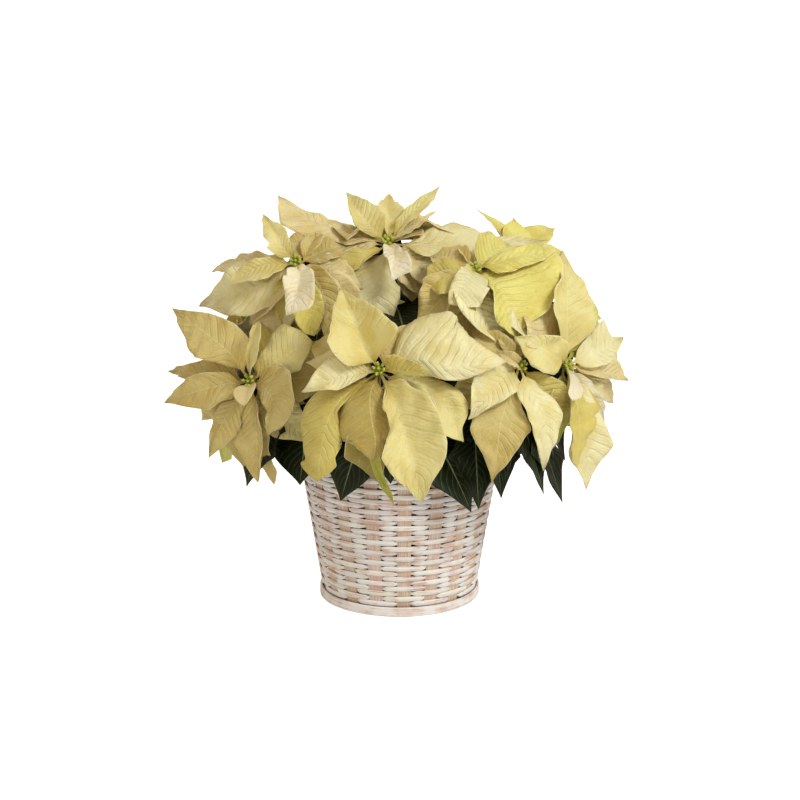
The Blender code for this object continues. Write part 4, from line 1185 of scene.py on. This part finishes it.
def make_weavers(material):
    """All the rounds of weaver, each one stake on from the round below."""
    master = make_weaver_master()
    dice = Random(26)
    rounds = []
    pitch = 360 / STAKE_COUNT
    for row in range(WEAVER_ROWS):
        low = WEAVER_LOW + row * WEAVER_PITCH
        grow = wall_middle(low) / wall_middle(WEAVER_LOW)
        weaver = copy_of(master)
        turn = pitch * (row % 2) + dice.uniform(-0.5, 0.5)
        weaver.matrix_world = (
            Matrix.Translation((0.0, 0.0, (low + dice.uniform(-0.15, 0.15)) * MM))
            @ Matrix.Rotation(radians(turn), 4, "Z") @ Matrix.Diagonal((grow, grow, 1.0, 1.0))
            @ Matrix.Rotation(radians(dice.uniform(-0.12, 0.12)), 4, "X")
        )
        apply_place(weaver)
        places = coordinates(weaver.data)
        turns = np.arctan2(places[:, 0], -places[:, 1])
        for waves in (3, 7, 11):
            places[:, 2] += WEAVER_STRAY / waves ** 0.5 * MM * np.sin(waves * turns + dice.uniform(0, 2 * pi))
        set_coordinates(weaver.data, places)
        shade = dice.uniform(0.92, 1.06)
        paint(weaver, (shade, shade * dice.uniform(0.97, 1.01), shade * dice.uniform(0.94, 1.0), 1.0))
        rounds.append(weaver)
    bpy.data.objects.remove(master, do_unlink=True)
    weavers = join(rounds, "weavers")
    wrap_map(weavers)
    place_piece(weavers, material, "whitewashed_chipwood", "basket_wall")


def make_stakes(material):
    """The upright chips, from the base board to the rim."""
    low, high = 6.5, BASKET_HEIGHT - 0.5
    deselect_all()
    bpy.ops.mesh.primitive_cube_add(size=1.0, location=(0.0, -wall_middle(low) * MM, low * MM))
    master = bpy.context.object
    master.scale = (STAKE_WIDTH * MM, STAKE_THICKNESS * MM, 0.001 * MM)
    apply_place(master)
    bpy.ops.object.mode_set(mode="EDIT")
    bpy.ops.mesh.select_all(action="DESELECT")
    bpy.ops.object.mode_set(mode="OBJECT")
    for face in master.data.polygons:
        face.select = face.normal.z > 0.9
    bpy.ops.object.mode_set(mode="EDIT")
    lean = wall_middle(high) - wall_middle(low)
    bpy.ops.transform.translate(value=(0.0, -lean * MM, (high - low) * MM))
    bpy.ops.mesh.select_all(action="SELECT")
    bpy.ops.mesh.subdivide(number_cuts=5)
    bpy.ops.object.mode_set(mode="OBJECT")
    places = coordinates(master.data)
    across = places[:, 0] / (STAKE_WIDTH / 2 * MM)
    places[:, 1] += across ** 2 * 0.35 * MM
    set_coordinates(master.data, places)
    bevel = master.modifiers.new("edges", "BEVEL")
    bevel.width = 0.3 * MM
    bevel.segments = 2
    bevel.limit_method = "ANGLE"
    apply_modifiers(master)
    bpy.ops.object.shade_smooth_by_angle(angle=radians(40))
    dice = Random(18)
    stakes = []
    for index in range(STAKE_COUNT):
        stake = copy_of(master)
        stake.matrix_world = Matrix.Rotation(radians(FIRST_STAKE + 360 / STAKE_COUNT * index), 4, "Z")
        apply_place(stake)
        shade = dice.uniform(0.86, 1.05)
        paint(stake, (shade, shade * dice.uniform(0.92, 1.02), shade * dice.uniform(0.86, 1.0), 1.0))
        stakes.append(stake)
    bpy.data.objects.remove(master, do_unlink=True)
    item = join(stakes, "stakes")
    wrap_map(item)
    place_piece(item, material, "whitewashed_chipwood")


def make_hoop(name, low, high, outside_low, outside_high, thickness, material, *replaced):
    """A bent wooden hoop with rounded edges."""
    deselect_all()
    bpy.ops.mesh.primitive_circle_add(
        vertices=144, radius=(outside_low - thickness / 2) * MM, location=(0.0, 0.0, low * MM)
    )
    hoop = bpy.context.object
    apply_place(hoop)
    bpy.ops.object.mode_set(mode="EDIT")
    bpy.ops.mesh.extrude_region_move(TRANSFORM_OT_translate={"value": (0.0, 0.0, (high - low) * MM)})
    grow = (outside_high - thickness / 2) / (outside_low - thickness / 2)
    bpy.ops.transform.resize(value=(grow, grow, 1.0), center_override=(0.0, 0.0, 0.0))
    bpy.ops.object.mode_set(mode="OBJECT")
    solidify = hoop.modifiers.new("thickness", "SOLIDIFY")
    solidify.thickness = thickness * MM
    solidify.offset = 0.0
    bevel = hoop.modifiers.new("edges", "BEVEL")
    bevel.width = thickness * 0.3 * MM
    bevel.segments = 3
    bevel.limit_method = "ANGLE"
    apply_modifiers(hoop)
    bpy.ops.object.shade_smooth_by_angle(angle=radians(40))
    paint(hoop, (1.0, 1.0, 1.0, 1.0))
    wrap_map(hoop)
    hoop.name = name
    place_piece(hoop, material, "whitewashed_chipwood", *replaced)


def make_soil(material):
    """The compost's crumbly top."""
    low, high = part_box("potting_soil")
    deselect_all()
    bpy.ops.mesh.primitive_cylinder_add(
        vertices=64, radius=high.x, depth=6 * MM, location=(0.0, 0.0, high.z - 3 * MM), end_fill_type="TRIFAN"
    )
    soil = bpy.context.object
    apply_place(soil)
    bpy.ops.object.mode_set(mode="EDIT")
    bpy.ops.mesh.select_all(action="SELECT")
    bpy.ops.mesh.subdivide(number_cuts=7)
    bpy.ops.object.mode_set(mode="OBJECT")
    for vertex in soil.data.vertices:
        if vertex.co.z > high.z - 1 * MM:
            crumbs = noise.noise(vertex.co * 160) * 2.2 + noise.noise(vertex.co * 420) * 1.1
            vertex.co.z += crumbs * MM
    bpy.ops.object.shade_smooth_by_angle(angle=radians(60))
    soil.name = "compost_top"
    place_piece(soil, material, "potting_soil")


# The studio

SKY_LIGHT = 0.53
FLOOR_GLOW = 0.72


def aim(item, place, target):
    """Put a light or camera in its place, looking at a target."""
    item.location = place
    item.rotation_euler = (target - Vector(place)).to_track_quat("-Z", "Y").to_euler()


def add_light(name, place, target, size, power, colour="#FFFFFF"):
    """A square soft light."""
    lamp = bpy.data.lights.new(name, "AREA")
    lamp.shape = "SQUARE"
    lamp.size = size
    lamp.energy = power
    lamp.color = linear(colour)[:3]
    item = bpy.data.objects.new(name, lamp)
    bpy.context.scene.collection.objects.link(item)
    aim(item, place, target)


def make_studio():
    """A white floor, soft light from the upper right, and the photo's camera."""
    scene = bpy.context.scene
    scene.view_settings.view_transform = "Standard"
    deselect_all()
    bpy.ops.mesh.primitive_plane_add(size=60.0, location=(0.0, 0.0, -0.2 * MM))
    floor = bpy.context.object
    floor.name = "studio_floor"
    material, tree, shader = new_material("floor_paper")
    place = node(tree, "ShaderNodeTexCoord").outputs["Object"]
    fibres = node(tree, "ShaderNodeTexNoise", {"Vector": place, "Scale": 300.0}).outputs["Fac"]
    colour = mixed(tree, ramp(tree, fibres, 0.3, 0.7), linear("#F2F2F2"), linear("#F6F6F6"))
    tree.links.new(colour, shader.inputs["Base Color"])
    seen = node(tree, "ShaderNodeLightPath").outputs["Is Camera Ray"]
    shader.inputs["Emission Color"].default_value = linear("#FFFFFF")
    tree.links.new(reckon(tree, "MULTIPLY", seen, FLOOR_GLOW), shader.inputs["Emission Strength"])
    shader.inputs["Roughness"].default_value = 0.9
    floor.data.materials.append(material)

    world = bpy.data.worlds.new("studio")
    scene.world = world
    world.use_nodes = True
    world.node_tree.nodes.clear()
    seen = node(world.node_tree, "ShaderNodeLightPath").outputs["Is Camera Ray"]
    strength = ramp(world.node_tree, seen, 0.0, 1.0, SKY_LIGHT, 1.0)
    colour = mixed(world.node_tree, seen, linear("#FFF3E0"), linear("#FFFFFF"))
    sky = node(world.node_tree, "ShaderNodeBackground", {"Color": colour, "Strength": strength})
    node(world.node_tree, "ShaderNodeOutputWorld", {"Surface": sky.outputs[0]})

    middle = Vector((0.0, 0.0, 0.25))
    add_light("key", (1.35, -1.45, 1.95), middle, 0.7, 42.0, "#FAFDFF")
    add_light("fill", (-1.8, -1.5, 0.9), middle, 1.4, 4.2, "#FFF8F0")
    add_light("back", (-0.9, 2.2, 1.3), middle, 1.8, 14.0, "#FFF8F0")

    camera = bpy.data.cameras.new("camera")
    camera.sensor_width = 36.0
    camera.lens = 94.374
    item = bpy.data.objects.new("camera", camera)
    scene.collection.objects.link(item)
    pitch = radians(14.0)
    item.location = Vector((0.0005, 0.0, 0.2103)) + Vector((0.0, -cos(pitch), sin(pitch))) * 2.2
    item.rotation_euler = (radians(90.0) - pitch, 0.0, 0.0)
    scene.camera = item


def main():
    bract_skin = make_bract_skin()
    leaf_skin = make_leaf_skin()
    flower_skin = make_flower_skin()
    weaver_wood = make_chipwood("whitewashed_weaver", ("#C6A090", "#DEC2B2"), "#EAE8E5", (0.02, 0.9), 0.53)
    stake_wood = make_chipwood("whitewashed_stake", ("#D6B6A2", "#E8CDBA"), "#E9DCD1", (0.9, 0.02), 0.64)
    hoop_wood = make_chipwood("whitewashed_hoop", ("#CDB0A0", "#E2D0C4"), "#ECE8E3", (0.015, 0.7), 0.56)
    pot_plastic = make_speckled("moulded_pot_plastic", "#101410", "#1C221C", 500.0, 0.5, 0.0001)
    compost = make_speckled("peat_compost", "#17100B", "#3F2C1E", 260.0, 0.95, 0.0015)
    bark = make_speckled("green_stem_bark", "#4A5A2A", "#6B6A3C", 140.0, 0.6, 0.0004)
    board = make_speckled("planed_base_board", "#CDAE92", "#E2CBB2", 60.0, 0.75, 0.0002)

    for name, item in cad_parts.items():
        finish = {"grower_pot": pot_plastic, "potting_soil": compost, "basket_base": board}.get(name, bark)
        item.data.materials.clear()
        item.data.materials.append(finish)

    make_weavers(weaver_wood)
    make_stakes(stake_wood)
    make_hoop("foot_band", 0.0, HOOP_HEIGHT, FOOT_RADIUS, FOOT_RADIUS, 2.7, hoop_wood, "base_hoop")
    rim = wall_middle(BASKET_HEIGHT) + 5.0
    make_hoop("rim_band", BASKET_HEIGHT - 9, BASKET_HEIGHT, rim - 1.4, rim, 2.6, hoop_wood, "rim_hoop")
    make_soil(compost)

    fine, plain, coarse = (make_blade_master(cells) for cells in (FINE_BLADE, PLAIN_BLADE, COARSE_BLADE))
    for name in WHORLS:
        make_whorl(name, fine if name in FRONT_WHORLS else plain, bract_skin)
    make_leaves(plain, coarse, leaf_skin)
    for master in (fine, plain, coarse):
        bpy.data.objects.remove(master, do_unlink=True)
    make_flowers(flower_skin)
    make_studio()


main()
